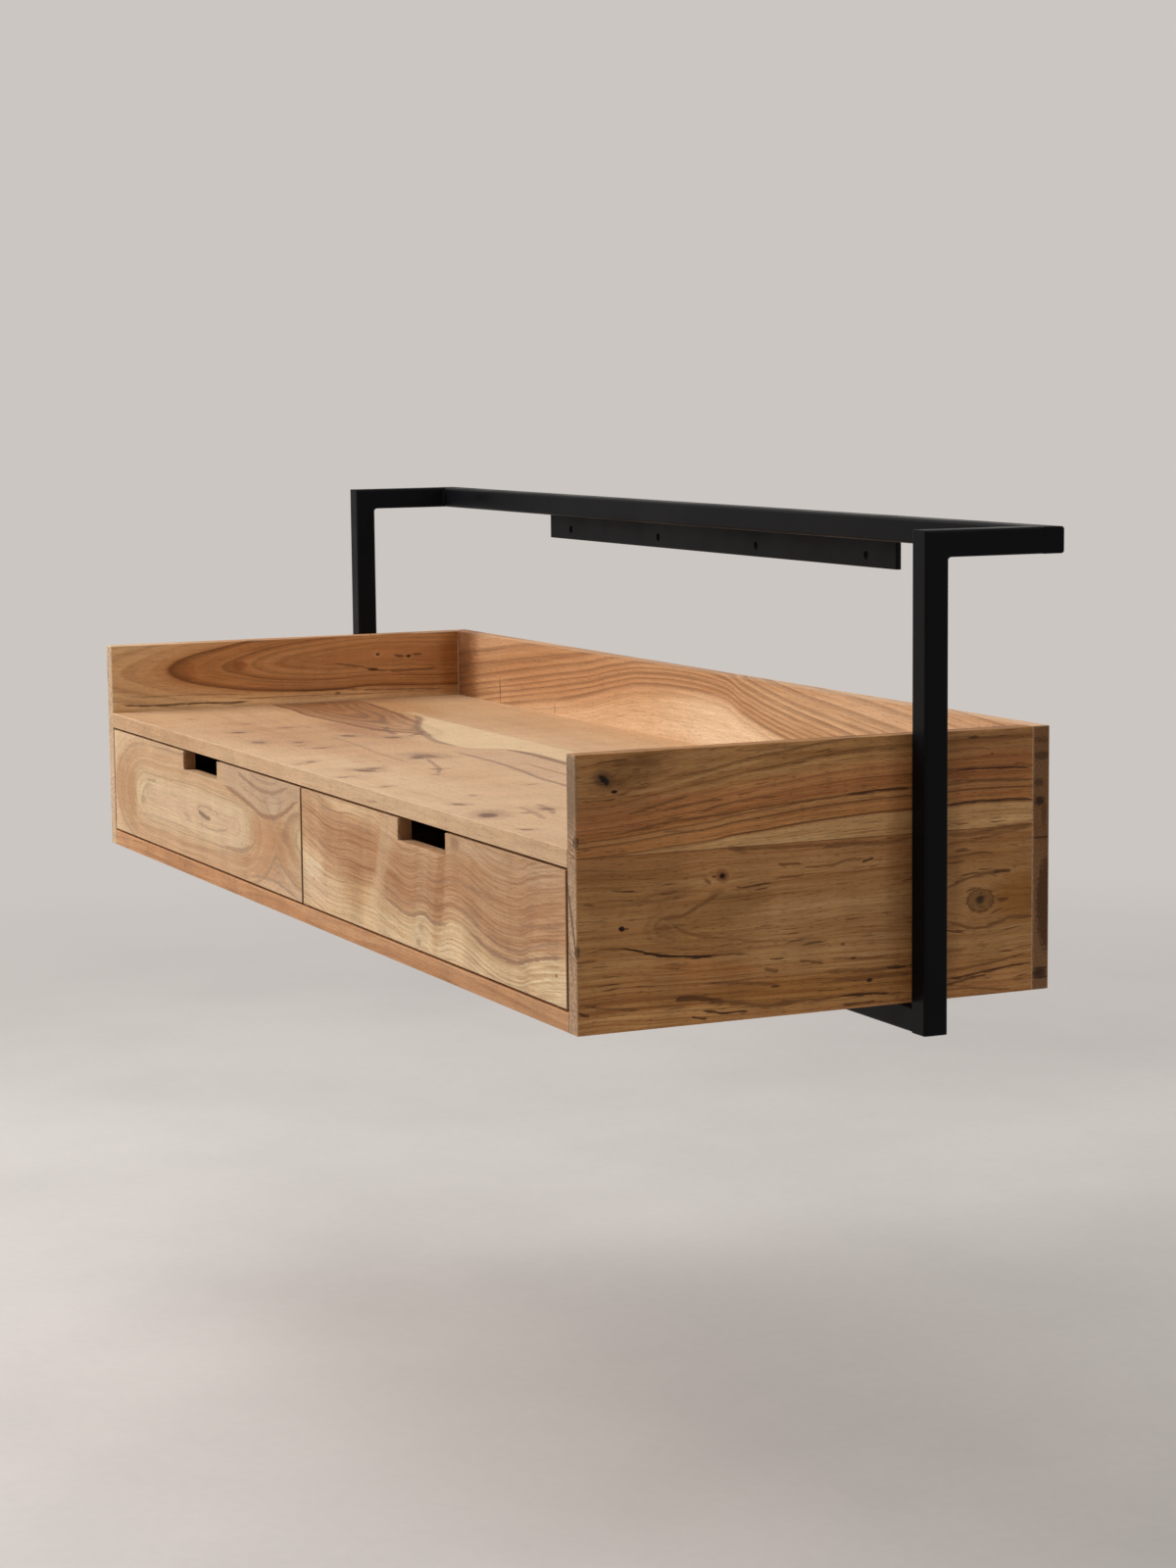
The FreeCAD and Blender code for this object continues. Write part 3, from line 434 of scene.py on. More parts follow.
@dataclass(frozen=True)
class Chain:
    """Strokes of one colour and strength that follow one another along the board, drawn together.

    GAP is the least distance between two of them and FADE the share of its length over which a stroke
    thins out at each end. Ragged noise moves a stroke by BEND and changes its width by RAGGED, or by
    ROUGHEST of the width where that is less. LEAST keeps the width above 0.
    """

    strokes: tuple[Stroke, ...]

    GAP = 4.0
    FADE = 0.15
    BEND = 1.4
    RAGGED = 7.0
    ROUGHEST = 2.4
    LEAST = 0.01

    @property
    def colour(self) -> Colour:
        """The strokes' colour."""
        return self.strokes[0].colour

    @classmethod
    def link(cls, strokes: Sequence[Stroke]) -> list[Chain]:
        """Sorts strokes into as few chains as their places along the board allow."""
        rows: list[list[Stroke]] = []
        for stroke in sorted(strokes, key=lambda each: each.path[0][0]):
            for row in rows:
                last = row[-1]
                alike = (last.colour, last.strength) == (stroke.colour, stroke.strength)
                if alike and last.path[-1][0] + cls.GAP < stroke.path[0][0]:
                    row.append(stroke)
                    break
            else:
                rows.append([stroke])
        return [cls(tuple(row)) for row in rows]

    def mask(self, place: Place, ragged: Field) -> Field:
        """1 within half the ragged width of a stroke, 0 away from them."""
        first, last = self.strokes[0].path[0][0], self.strokes[-1].path[-1][0]
        path: list[tuple[float, float]] = []
        girth = [(first - self.GAP, 0.0)]
        for stroke in self.strokes:
            start, end = stroke.path[0][0], stroke.path[-1][0]
            fade = self.FADE * (end - start)
            path += stroke.path
            girth += [(start, 0.0), (start + fade, stroke.width), (end - fade, stroke.width), (end, 0.0)]
        girth.append((last + self.GAP, 0.0))
        height, _ = drawn_height(place, tuple(path))
        width, _ = drawn_height(place, tuple(girth))
        rough = min(self.ROUGHEST, self.RAGGED / max(stroke.width for stroke in self.strokes))
        width = (ragged.scaled(rough, 0.62).most(0.12) * width).most(self.LEAST * MM)
        offset = abs(ragged.scaled(self.BEND * MM, place.across) - height) / width
        return offset.step(1.1, 0.3, 0.0, self.strokes[0].strength)


@dataclass(frozen=True)
class Band:
    """The stretch of board between two drawn lines, whose edges soften over the length soft."""

    top: Path
    bottom: Path
    colour: Colour
    strength: float
    soft: float = 4.0

    def mask(self, place: Place, ragged: Field) -> Field:
        """1 between the two lines, 0 outside them and at their ends."""
        roof, share = drawn_height(place, self.top)
        ground, _ = drawn_height(place, self.bottom)
        soft = self.soft * MM
        rise = ragged * (2.0 * soft) + place.across
        inside = (roof - rise).step(-soft, soft) * (rise - ground).step(-soft, soft)
        return inside * share.step(-0.02, 0.03) * share.step(1.02, 0.97, 0.0, self.strength)


@dataclass(frozen=True)
class Growth:
    """The growth field of a board: how far across the growth rings a point lies, in metres.

    This base is straight grain: the distance across the board, plus slow noise of the height swing that
    turns over the length stretch, plus dive times the depth into the board.
    """

    swing: float = 10.0
    stretch: float = 400.0
    dive: float = 0.6
    seed: float = 0.0
    knots: tuple[Knot, ...] = ()

    ACROSS = 9.0

    def stray(self, place: Place) -> Field:
        """Slow signed noise, in metres, with ACROSS cells to a metre across the fibres."""
        along = place.along * (1.0 / (self.stretch * MM)) + self.seed
        spot = place.net.vector(along, place.across * self.ACROSS, place.through * self.ACROSS)
        return (place.net.noise(spot) - 0.5) * (4.0 * self.swing * MM)

    def shape(self, place: Place) -> Field:
        """The field before noise, depth and knots."""
        return place.across

    def rings(self, place: Place) -> Field:
        """The whole field: shape, noise and depth, led round each knot."""
        field = self.shape(place) + self.stray(place) + place.through * self.dive
        for knot in self.knots:
            field = knot.turn(field, place)
        return field


@dataclass(frozen=True)
class Cathedral(Growth):
    """Nested arches of a flat-sawn board.

    The pith lies in the face, at the height centre, up to the place end. Beyond it, where along is more
    for a rise above 0 and less for one below 0, it sinks by rise for each metre of length, and for each
    metre that it sinks it drifts across the board by lean. A ring of radius r meets the face in a curve of
    half-width (r^power - depth^power)^(1 / power): below 2 the power makes the arches more pointed.
    """

    centre: float = 0.0
    end: float = 0.0
    rise: float = 0.15
    lean: float = 0.0
    power: float = 2.0

    def shape(self, place: Place) -> Field:
        """The power mean of the distance across and of the pith's depth."""
        depth = ((place.along - self.end * MM) * self.rise).most(0.0)
        across = abs(place.across - self.centre * MM - depth * self.lean)
        return (across ** self.power + depth ** self.power) ** (1.0 / self.power)


@dataclass(frozen=True)
class Heart:
    """A line along the fibres that rings run round, from the place left to the place right.

    across is its height, start the rings' distance at the line itself, and stretch how much longer the
    rings are beyond its left and right ends than they are high.
    """

    left: float
    right: float
    across: float
    start: float = 0.0
    stretch: tuple[float, float] = (2.0, 2.0)

    def distance(self, place: Place) -> Field:
        """Distance from the line, shortened along the fibres beyond its ends."""
        before = (self.left * MM - place.along) * (1.0 / self.stretch[0])
        beyond = (place.along - self.right * MM) * (1.0 / self.stretch[1])
        past = before.most(beyond).most(0.0)
        across = place.across - self.across * MM
        return (past * past + across * across).root() + self.start * MM


@dataclass(frozen=True)
class Ovals(Growth):
    """Rings around several hearts that flow together: -s log(sum exp(-d / s)), the soft least distance."""

    hearts: tuple[Heart, ...] = ()
    blend: float = 10.0

    def shape(self, place: Place) -> Field:
        """The soft least distance to the hearts."""
        total: Term = 0.0
        blend = self.blend * MM
        for heart in self.hearts:
            total = (heart.distance(place) * (-1.0 / blend)).exp() + total
        return total.log() * -blend


@dataclass(frozen=True)
class Waves(Growth):
    """Rings that follow a drawn line along the board.

    line lists places along the board and heights across it; spread widens the rings towards the start of
    the line (1 is none).
    """

    line: Path = ((0.0, 0.0), (1000.0, 0.0))
    spread: float = 1.0

    def shape(self, place: Place) -> Field:
        """Distance above the drawn line, divided by the spread."""
        height, share = drawn_height(place, self.line)
        field = place.across - height
        if self.spread != 1.0:
            field = field / share.step(0.0, 0.6, self.spread, 1.0)
        return field


@dataclass(frozen=True)
class Staves(Growth):
    """Two boards glued edge to edge at the height joint, each with its own growth field."""

    joint: float = 0.0
    lower: Growth = Growth()
    upper: Growth = Growth()

    def rings(self, place: Place) -> Field:
        """The lower field below the joint and the upper one above it."""
        above = place.net.maths("GREATER_THAN", place.across, self.joint * MM)
        low, high = self.lower.rings(place), self.upper.rings(place)
        return low + (high - low) * above


@dataclass(frozen=True)
class Layers:
    """Where a point lies in its growth layer: the share of it, its chance tone and how clearly it shows."""

    share: Field
    chance: Field
    show: Field | float


@dataclass(frozen=True)
class Timber:
    """The colours and the texture of one kind of wood.

    bands, ribs and lines are the widths of broad bands, fine ribs and growth layers across the rings.
    """

    pale: Colour = (0.62, 0.42, 0.24)
    body: Colour = (0.5, 0.29, 0.145)
    deep: Colour = (0.33, 0.165, 0.075)
    line: Colour = (0.13, 0.06, 0.028)
    cloud: Colour = (0.46, 0.215, 0.095)
    bands: float = 20.0
    ribs: float = 1.6
    lines: float = 7.0
    rib_strength: float = 0.3
    line_strength: float = 0.55
    layer_strength: float = 0.3
    streak_strength: float = 0.3
    cloud_strength: float = 0.35
    fleck_strength: float = 0.25
    dash_strength: float = 0.0
    silk: float = 0.08
    pores: float = 0.3
    roughness: float = 0.5

    def tone(self, place: Place, rings: Field, layers: Layers) -> Field:
        """Bands, ribs, growth layers and streaks, from 0, dark, to 1, pale."""
        bands = ring_noise(place, rings, 1.0 / (self.bands * MM), 1.2, 0.0, 3.0)
        ribs = ring_noise(place, rings, 1.0 / (self.ribs * MM), 9.0)
        streaks = fibre_noise(place, 6.0, 190.0).step(0.25, 0.75, -0.5, 0.5)
        layer = (layers.chance - 0.5) + (0.4 - layers.share) * 0.8
        bold = layers.show * 0.6 + 0.4
        tone = (bands.step(0.28, 0.72) - 0.5) * bold * (1.0 - self.rib_strength) + 0.5
        tone = tone + (ribs.step(0.3, 0.7) - 0.5) * self.rib_strength
        return tone + layer * layers.show * self.layer_strength + streaks * self.streak_strength


@dataclass(frozen=True)
class Board:
    """One board's looks: how it lies, its growth field, its timber and what is drawn on it.

    zones are tints at distances across the rings, each with how clearly growth layers show there. lines
    are drawn at distances across the rings. washes tint the ground under the lines and marks lie over it
    all. glue_lines are heights of glued joints, end is the colour of the end grain and arris that of the
    board's arrises, which are the timber's pale colour where none is given.
    """

    lay: Lay
    growth: Growth
    timber: Timber
    zones: tuple[tuple[float, Colour, float], ...] = ()
    lines: tuple[Line, ...] = ()
    washes: tuple[Mark, ...] = ()
    figures: tuple[Figure | Band | Stroke, ...] = ()
    marks: tuple[Mark, ...] = ()
    glue_lines: tuple[float, ...] = ()
    end: Colour = (0.3, 0.19, 0.11)
    end_strength: float = 0.75
    arris: Colour | None = None


class TimberFinish:
    """Oiled wood on one board, as a solid texture.

    RELIEF is the height of its bumps. GLUE, SKIN and WEAR_AND_SHADE are the distances at which a glue
    line, the end grain and an arris band begin and are full. The arris band takes the board's arris colour:
    pale wear on most boards, and painted shade of the gaps on the drawer fronts. RING and HEART are those
    of a knot's ring and heart in shares of its core, each with its strength. PITH is the heart's colour.
    """

    RELIEF = 0.4
    GLUE = (0.7, 0.2)
    GLUE_STRENGTH = 0.55
    SKIN = (1.2, 0.5)
    WEAR_AND_SHADE = (2.2, 0.6)
    RING = (3.0, 1.0, 0.6)
    HEART = (1.1, 0.5, 0.92)
    PITH: Colour = (0.035, 0.02, 0.012)

    def __init__(self, name: str, board: Board, box: tuple[Vector, Vector]) -> None:
        """Keeps what the material is made from: its name, the board's looks and its corners."""
        self.name = name
        self.board = board
        self.box = box

    def build(self) -> bpy.types.Material:
        """Makes the material."""
        material, net = new_material(self.name)
        board, timber = self.board, self.board.timber
        *axes, side = board.lay.value
        along, across, through = (net.axes()[axis] for axis in axes)
        place = Place(along, across, through - self.box[side][axes[2]])
        rings = board.growth.rings(place)
        ragged = fibre_noise(place, 60.0, 400.0) - 0.5
        fibres = fibre_noise(place, 22.0, 750.0)
        pores = fibre_noise(place, 110.0, 1300.0, 1.0).step(0.6, 0.7)
        tint, show = self._zones(net, rings)
        layers = self._layers(net, place, rings, show)
        colour = self._ground(net, place, rings, layers, tint, ragged)
        colour = self._end_grain(net, place, colour, ragged)
        lines = self._lines(place, rings, layers)
        colour = net.mix(colour, timber.line, lines)
        colour = self._marks(net, place, colour, ragged)
        shade = fibres.step(0.25, 0.75, 0.9, 1.08) * self._silk(place)
        shade = shade * (1.0 - pores * timber.pores)
        colour = net.mix(colour, net.grey(shade), 1.0, "MULTIPLY")
        colour = self._arrises(net, colour, fibres)
        relief = fibres * 0.4 - pores * 0.6 - lines * 0.5
        bump = net.node("ShaderNodeBump", links={"Strength": 0.35, "Distance": self.RELIEF * MM,
                                                 "Height": relief})
        roughness = fibres.step(0.2, 0.8, timber.roughness - 0.06, timber.roughness + 0.08)
        shader = net.node("ShaderNodeBsdfPrincipled", links={
            "Base Color": colour, "Roughness": roughness + pores * 0.2, "Normal": bump.outputs[0],
            "Specular IOR Level": 0.16})
        net.surface(shader.outputs[0])
        return material

    def _zones(self, net: Net, rings: Field) -> tuple[bpy.types.NodeSocket | None, Field | float]:
        """The tint at a distance across the rings, and how clearly growth layers show there."""
        zones = self.board.zones
        if not zones:
            return None, 1.0
        first, last = zones[0][0], zones[-1][0]
        stops = [((at - first) / (last - first), (*tint, show)) for at, tint, show in zones]
        share = (rings - first * MM) * (1.0 / ((last - first) * MM))
        ramp = net.node("ShaderNodeValToRGB", {"stops": stops}, {0: share})
        return ramp.outputs[0], Field(net, ramp.outputs[1])

    def _layers(self, net: Net, place: Place, rings: Field, show: Field | float) -> Layers:
        """Growth layers of uneven thickness."""
        across = rings * (1.0 / (self.board.timber.lines * MM))
        wobble = ring_noise(place, across, 0.33, 0.8, 1.7)
        count = across + wobble * 2.6
        number = net.maths("FLOOR", count)
        chance = net.node("ShaderNodeTexWhiteNoise", {"noise_dimensions": "1D"}, {"W": number})
        return Layers(net.maths("FRACT", count), Field(net, chance.outputs["Value"]), show)

    def _ground(self, net: Net, place: Place, rings: Field, layers: Layers,
                tint: bpy.types.NodeSocket | None, ragged: Field) -> bpy.types.NodeSocket:
        """The colour under the lines: bands and layers, clouds, the zones' tints and the washes."""
        timber = self.board.timber
        stops = [(0.0, timber.deep), (0.42, timber.body), (0.85, timber.pale)]
        tone = timber.tone(place, rings, layers)
        colour = net.node("ShaderNodeValToRGB", {"stops": stops}, {0: tone}).outputs[0]
        clouds = fibre_noise(place, 2.6, 11.0).step(0.42, 0.66)
        colour = net.mix(colour, timber.cloud, clouds * timber.cloud_strength)
        if tint is not None:
            colour = net.mix(colour, tint, 1.0, "MULTIPLY")
        for wash in self.board.washes:
            colour = net.mix(colour, wash.colour, wash.mask(ragged), "MULTIPLY")
        return colour

    def _lines(self, place: Place, rings: Field, layers: Layers) -> Field:
        """Dark lines: the ends of growth layers, drawn lines, short flecks and longer dashes."""
        timber = self.board.timber
        share = layers.share
        crest = share.step(0.25, 1.0, 0.0, 0.3).most(share.step(0.76, 0.92) * share.step(1.0, 0.95))
        alive = ring_noise(place, rings, 90.0, 6.0, 5.1, 2.0)
        depth = ring_noise(place, rings, 0.8 / (timber.lines * MM), 1.5, 5.1, 2.0)
        dark = crest * depth.step(0.38, 0.64) * alive.step(0.25, 0.55, 0.45, 1.0) * layers.show
        dark = dark * timber.line_strength
        if self.board.lines:
            dark = dark.most(drawn_lines(rings, self.board.lines) * alive.step(0.22, 0.5, 0.5, 1.0))
        flecks = ring_noise(place, rings, 420.0, 34.0, 8.3).step(0.62, 0.72)
        where = ring_noise(place, rings, 35.0, 5.0, 2.9).step(0.4, 0.62, 0.15, 1.0)
        dark = dark.most(flecks * where * timber.fleck_strength)
        if timber.dash_strength:
            dashes = fibre_noise(place, 17.0, 150.0).step(0.645, 0.72)
            where = fibre_noise(place, 3.0, 8.0, 1.0).step(0.46, 0.6)
            dark = dark.most(dashes * where * timber.dash_strength)
        return dark

    def _marks(self, net: Net, place: Place, colour: bpy.types.NodeSocket,
               ragged: Field) -> bpy.types.NodeSocket:
        """Lays the board's figures, marks, knots and glue lines over the colour."""
        figures: list[Figure | Band | Chain] = []
        figures += [figure for figure in self.board.figures if not isinstance(figure, Stroke)]
        figures += Chain.link([figure for figure in self.board.figures if isinstance(figure, Stroke)])
        for figure in figures:
            colour = net.mix(colour, figure.colour, figure.mask(place, ragged))
        for mark in self.board.marks:
            colour = net.mix(colour, mark.colour, mark.mask(ragged))
        for knot in self.board.growth.knots:
            core = knot.core * MM
            distance = knot.distance(place) + ragged * (core * 0.8)
            for tint, (outer, inner, strength) in ((self.board.timber.deep, self.RING),
                                                   (self.PITH, self.HEART)):
                within = distance.step(core * outer, core * inner, 0.0, strength)
                colour = net.mix(colour, tint, within)
        outer, inner = (distance * MM for distance in self.GLUE)
        for height in self.board.glue_lines:
            line = abs(place.across - height * MM).step(outer, inner, 0.0, self.GLUE_STRENGTH)
            colour = net.mix(colour, self.board.timber.line, line)
        return colour

    def _silk(self, place: Place) -> Field:
        """Bands of light that lie across the fibres."""
        silk = self.board.timber.silk
        return fibre_noise(place, 26.0, 7.0).step(0.25, 0.75, 1.0 - silk, 1.0 + silk)

    def _end_grain(self, net: Net, place: Place, colour: bpy.types.NodeSocket,
                   ragged: Field) -> bpy.types.NodeSocket:
        """Darker, greyer end grain, speckled with cut fibres; on drawer fronts also painted gap shade."""
        axis = self.board.lay.value[0]
        low, high = self.box[0][axis], self.box[1][axis]
        depth = (place.along - low).least(high - place.along)
        inner, outer = (distance * MM for distance in self.SKIN)
        ends = depth.step(inner, outer, 0.0, self.board.end_strength)
        speckle = net.noise(net.vector(*(value * 420.0 for value in net.axes())),
                            2.0).step(0.3, 0.7, 0.72, 1.22)
        tone = speckle * (ragged * 0.8 + 1.0)
        end = net.mix(self.board.end, net.grey(tone), 1.0, "MULTIPLY")
        return net.mix(colour, end, ends)

    def _arrises(self, net: Net, colour: bpy.types.NodeSocket, fibres: Field) -> bpy.types.NodeSocket:
        """Arrises pale with wear, or darkened where the board says so: painted gap shade on drawer fronts.
        """
        near = []
        for index, value in enumerate(net.axes()):
            near.append((value - self.box[0][index]).least(self.box[1][index] - value))
        first, second = near[0].least(near[1]), near[0].most(near[1])
        median = first.most(second.least(near[2]))
        inner, outer = (distance * MM for distance in self.WEAR_AND_SHADE)
        # On the drawer fronts this paints shade of the gaps round them. Elsewhere it is pale wear.
        wear_and_shade = median.step(inner, outer) * fibres.step(0.35, 0.6, 0.1, 0.45)
        return net.mix(colour, self.board.arris or self.board.timber.pale, wear_and_shade)


# ---------------------------------------------------------------------------------------------------
# Metal, plastic and rubber
# ---------------------------------------------------------------------------------------------------


@dataclass(frozen=True)
class Coating:
    """An even finish with fine texture.

    grain is the number of bumps to a metre, relief their height in millimetres, mottle how far the colour
    varies, scatter how far the roughness does, and brushed the axis along which the texture is drawn out
    to BRUSHED of its grain, or None.
    """

    BRUSHED = 0.03

    name: str
    colour: Colour
    roughness: float
    metallic: float = 0.0
    grain: float = 900.0
    relief: float = 0.04
    mottle: float = 0.15
    scatter: float = 0.06
    brushed: int | None = None
    gloss: float = 0.5

    def build(self) -> bpy.types.Material:
        """Makes the material."""
        material, net = new_material(self.name)
        scales = [self.grain] * 3
        if self.brushed is not None:
            scales[self.brushed] = self.grain * self.BRUSHED
        spot = net.vector(*(value * scale for value, scale in zip(net.axes(), scales)))
        texture = net.noise(spot, 2.0)
        patches = net.noise(net.vector(*(value * 14.0 for value in net.axes())), 3.0)
        shade = patches.step(0.3, 0.7, 1.0 - self.mottle, 1.0 + self.mottle)
        colour = net.mix(self.colour, net.grey(shade), 1.0, "MULTIPLY")
        roughness = patches.step(0.3, 0.7, self.roughness - self.scatter, self.roughness + self.scatter)
        bump = net.node("ShaderNodeBump", links={"Strength": 0.6, "Distance": self.relief * MM,
                                                 "Height": texture})
        shader = net.node("ShaderNodeBsdfPrincipled", links={
            "Base Color": colour, "Roughness": roughness + (texture - 0.5) * 0.12,
            "Metallic": self.metallic, "Specular IOR Level": self.gloss, "Normal": bump.outputs[0]})
        net.surface(shader.outputs[0])
        return material


POWDER_COAT = Coating("powder_coat", (0.003, 0.0033, 0.0046), 0.4, grain=1400, relief=0.05, gloss=0.07)
ZINC = Coating("zinc_plate", (0.62, 0.63, 0.65), 0.34, 1.0, 1600, 0.02, 0.1, brushed=1)
CAGE = Coating("cage_strip", (0.42, 0.42, 0.43), 0.38, 1.0, 1200, 0.02, 0.12, brushed=1)
BALLS = Coating("polished_balls", (0.72, 0.72, 0.74), 0.12, 1.0, 600, 0.01, 0.05, 0.03)
RUBBER = Coating("black_rubber", (0.022, 0.022, 0.022), 0.82, grain=2200, relief=0.1, mottle=0.25)
PLASTIC = Coating("black_plastic", (0.0026, 0.0027, 0.0034), 0.44, grain=1800, relief=0.06, gloss=0.07)


class Plywood:
    """Sanded plywood: a pale rotary-cut face and plies that show at the edges.

    RELIEF is the height of its bumps and EDGE the distances below a face at which the plies begin to show
    and are full. FACE and PLY are pairs of colours.
    """

    PLIES = 5
    RELIEF = 0.3
    EDGE = (0.05, 0.3)
    FACE = ((0.6, 0.43, 0.26), (0.7, 0.53, 0.34))
    PLY = ((0.42, 0.27, 0.15), (0.68, 0.5, 0.32))

    def __init__(self, name: str, box: tuple[Vector, Vector]) -> None:
        """Keeps the sheet's name and corners."""
        self.name = name
        self.box = box

    def build(self) -> bpy.types.Material:
        """Makes the material."""
        material, net = new_material(self.name)
        x, y, z = net.axes()
        figure = net.noise(net.vector(x * 5.0, y * 26.0, 0.0), 3.0, 0.6)
        fibres = net.noise(net.vector(x * 30.0, y * 800.0, z * 800.0), 2.0)
        face = net.mix(*self.FACE, figure.step(0.3, 0.7))
        share = (z - self.box[0].z) * (self.PLIES / (self.box[1].z - self.box[0].z))
        parity = net.maths("PINGPONG", share, 1.0).step(0.35, 0.65)
        edge = net.mix(*self.PLY, parity)
        depth = (z - self.box[0].z).least(self.box[1].z - z)
        outer, inner = (distance * MM for distance in self.EDGE)
        colour = net.mix(face, edge, depth.step(outer, inner))
        shade = fibres.step(0.25, 0.75, 0.9, 1.06)
        colour = net.mix(colour, net.grey(shade), 1.0, "MULTIPLY")
        bump = net.node("ShaderNodeBump", links={"Strength": 0.3, "Distance": self.RELIEF * MM,
                                                 "Height": fibres})
        shader = net.node("ShaderNodeBsdfPrincipled", links={
            "Base Color": colour, "Roughness": fibres.step(0.2, 0.8, 0.55, 0.7),
            "Normal": bump.outputs[0]})
        net.surface(shader.outputs[0])
        return material


def dress(node: bpy.types.Object, material: bpy.types.Material) -> None:
    """Gives a piece one material in every slot."""
    node.data.materials.clear()
    node.data.materials.append(material)
    LOG.info("%s: %s", node.name, material.name)


# ---------------------------------------------------------------------------------------------------
# The case
# ---------------------------------------------------------------------------------------------------

HONEY = Timber(pale=(0.61, 0.415, 0.25), body=(0.575, 0.37, 0.215), deep=(0.49, 0.29, 0.155),
               cloud=(0.545, 0.32, 0.17), line=(0.17, 0.085, 0.045), line_strength=0.62, bands=34,
               rib_strength=0.2, fleck_strength=0.08, dash_strength=0.55, silk=0.05)
CREAM = Timber(pale=(0.66, 0.475, 0.3), body=(0.6, 0.41, 0.25), deep=(0.5, 0.315, 0.175),
               cloud=(0.56, 0.36, 0.205), line=(0.25, 0.145, 0.085), line_strength=0.5, lines=7.5,
               rib_strength=0.42, bands=14, silk=0.06, fleck_strength=0.06)
AMBER = Timber(pale=(0.66, 0.46, 0.28), body=(0.57, 0.365, 0.205), deep=(0.45, 0.25, 0.125),
               cloud=(0.53, 0.31, 0.165), line=(0.24, 0.125, 0.062), rib_strength=0.68, ribs=2.4,
               bands=40, lines=4.2, line_strength=0.6, layer_strength=0.2, silk=0.09,
               fleck_strength=0.1)
RUSSET = Timber(pale=(0.46, 0.228, 0.086), body=(0.385, 0.172, 0.058), deep=(0.26, 0.1, 0.028),
                line=(0.07, 0.024, 0.006), cloud=(0.32, 0.13, 0.038), cloud_strength=0.5, bands=13,
                line_strength=0.5, lines=6.2, pores=0.45, fleck_strength=0.8, dash_strength=0.5,
                streak_strength=0.5)
ARCHED = Timber(pale=(0.76, 0.442, 0.207), body=(0.68, 0.372, 0.16), deep=(0.55, 0.258, 0.095),
                cloud=(0.62, 0.3, 0.11), line=(0.125, 0.045, 0.014), line_strength=0.55,
                lines=8.5, fleck_strength=0.12, bands=16, silk=0.05)
ORANGE = Timber(pale=(0.64, 0.374, 0.204), body=(0.57, 0.315, 0.16), deep=(0.45, 0.222, 0.099),
                cloud=(0.55, 0.294, 0.145), line=(0.15, 0.07, 0.032), line_strength=0.62, lines=8,
                fleck_strength=0.15, streak_strength=0.25, silk=0.025)
SALMON = Timber(pale=(0.56, 0.31, 0.155), body=(0.5, 0.25, 0.115), deep=(0.42, 0.19, 0.08),
                cloud=(0.47, 0.22, 0.095), line_strength=0.3)
PLAIN = Timber(pale=(0.6, 0.43, 0.26), body=(0.54, 0.36, 0.2), deep=(0.44, 0.27, 0.14),
               cloud=(0.5, 0.31, 0.17), line_strength=0.25, roughness=0.6)
PEG = Timber(pale=(0.66, 0.5, 0.32), body=(0.6, 0.43, 0.26), deep=(0.52, 0.35, 0.2),
             cloud=(0.56, 0.38, 0.22), line_strength=0.1, roughness=0.65)

AS_IS: Colour = (1.0, 1.0, 1.0)
CRACK: Colour = (0.058, 0.02, 0.006)
INK: Colour = (0.028, 0.009, 0.002)
BROWN: Colour = (0.172, 0.07, 0.021)
RUST: Colour = (0.34, 0.105, 0.036)
# Drawer fronts' arrises: darkened to paint the shade in the gaps round the drawers.
FRONT_ARRIS_GAP_SHADE: Colour = (0.42, 0.26, 0.15)
# Drawer fronts' end grain: its own darker colour, darkened further to paint the shade in the gaps between
# the drawers.
FRONT_END_GRAIN_AND_GAP_SHADE: Colour = (0.13, 0.06, 0.028)

DESK_JOINT = -168
SIDE_JOINT = -236

DESK_KNOTS: tuple[tuple[float, float, float, float], ...] = (
    (-383, -429, 30, 0.9), (-471, -389, 26, 0.8), (-408, -360, 40, 0.5),
    (-283, -329, 27, 1.0), (-271, -443, 30, 0.7), (-246, -404, 24, 0.7),
    (-212, -414, 20, 0.8), (-179, -401, 36, 0.7), (-242, -289, 34, 0.9),
    (-47, -328, 40, 1.0), (-36, -342, 26, 0.9), (75, -365, 20, 0.9),
    (121, -386, 17, 0.8), (36, -423, 26, 1.0), (48, -437, 30, 0.9),
    (-56, -460, 18, 0.7), (-42, -479, 16, 0.7), (92, -478, 24, 0.9),
    (190, -470, 18, 0.8), (356, -459, 20, 0.9), (442, -464, 36, 1.0),
    (429, -397, 28, 0.8), (446, -426, 24, 0.6), (246, -333, 18, 0.6),
    (553, -475, 18, 0.8), (300, -420, 14, 0.5), (-560, -430, 16, 0.4))


def desk_knots() -> tuple[Mark, ...]:
    """Small dark pin knots scattered over the writing surface: a smudge and a narrow core each.

    DESK_KNOTS gives each knot's place along and across the board, its width and how dark it is.
    """
    smudge_colour, core_colour = (0.34, 0.195, 0.115), (0.115, 0.056, 0.031)
    knots = []
    for index, (along, across, width, dark) in enumerate(DESK_KNOTS):
        lean = 0.35 * math.sin(2.4 * index)
        stretch = 0.45 + 0.25 * math.sin(5.1 * index)
        smudge = (width * stretch * 1.3, width * 0.62, 0.0)
        core = (width * stretch * 0.6, width * 0.26, 0.0)
        knots.append(Mark((along, across, 0), smudge, smudge_colour, 0.62 * dark, 0.95, lean))
        knots.append(Mark((along + 0.1 * width, across - 0.1 * width, 0), core, core_colour, 0.84 * dark,
                          0.85, lean))
    return tuple(knots)


def notch_walls(left: float, right: float) -> tuple[Mark, ...]:
    """Dark end grain on the walls of a finger notch, left to right along X; painted shade where they meet
    its bottom.
    """
    size, colour = (4, 10.5, 18), (0.29, 0.135, 0.055)
    return tuple(Mark((wall, -483, -259.5), size, colour, 0.95, 0.4) for wall in (left, right))


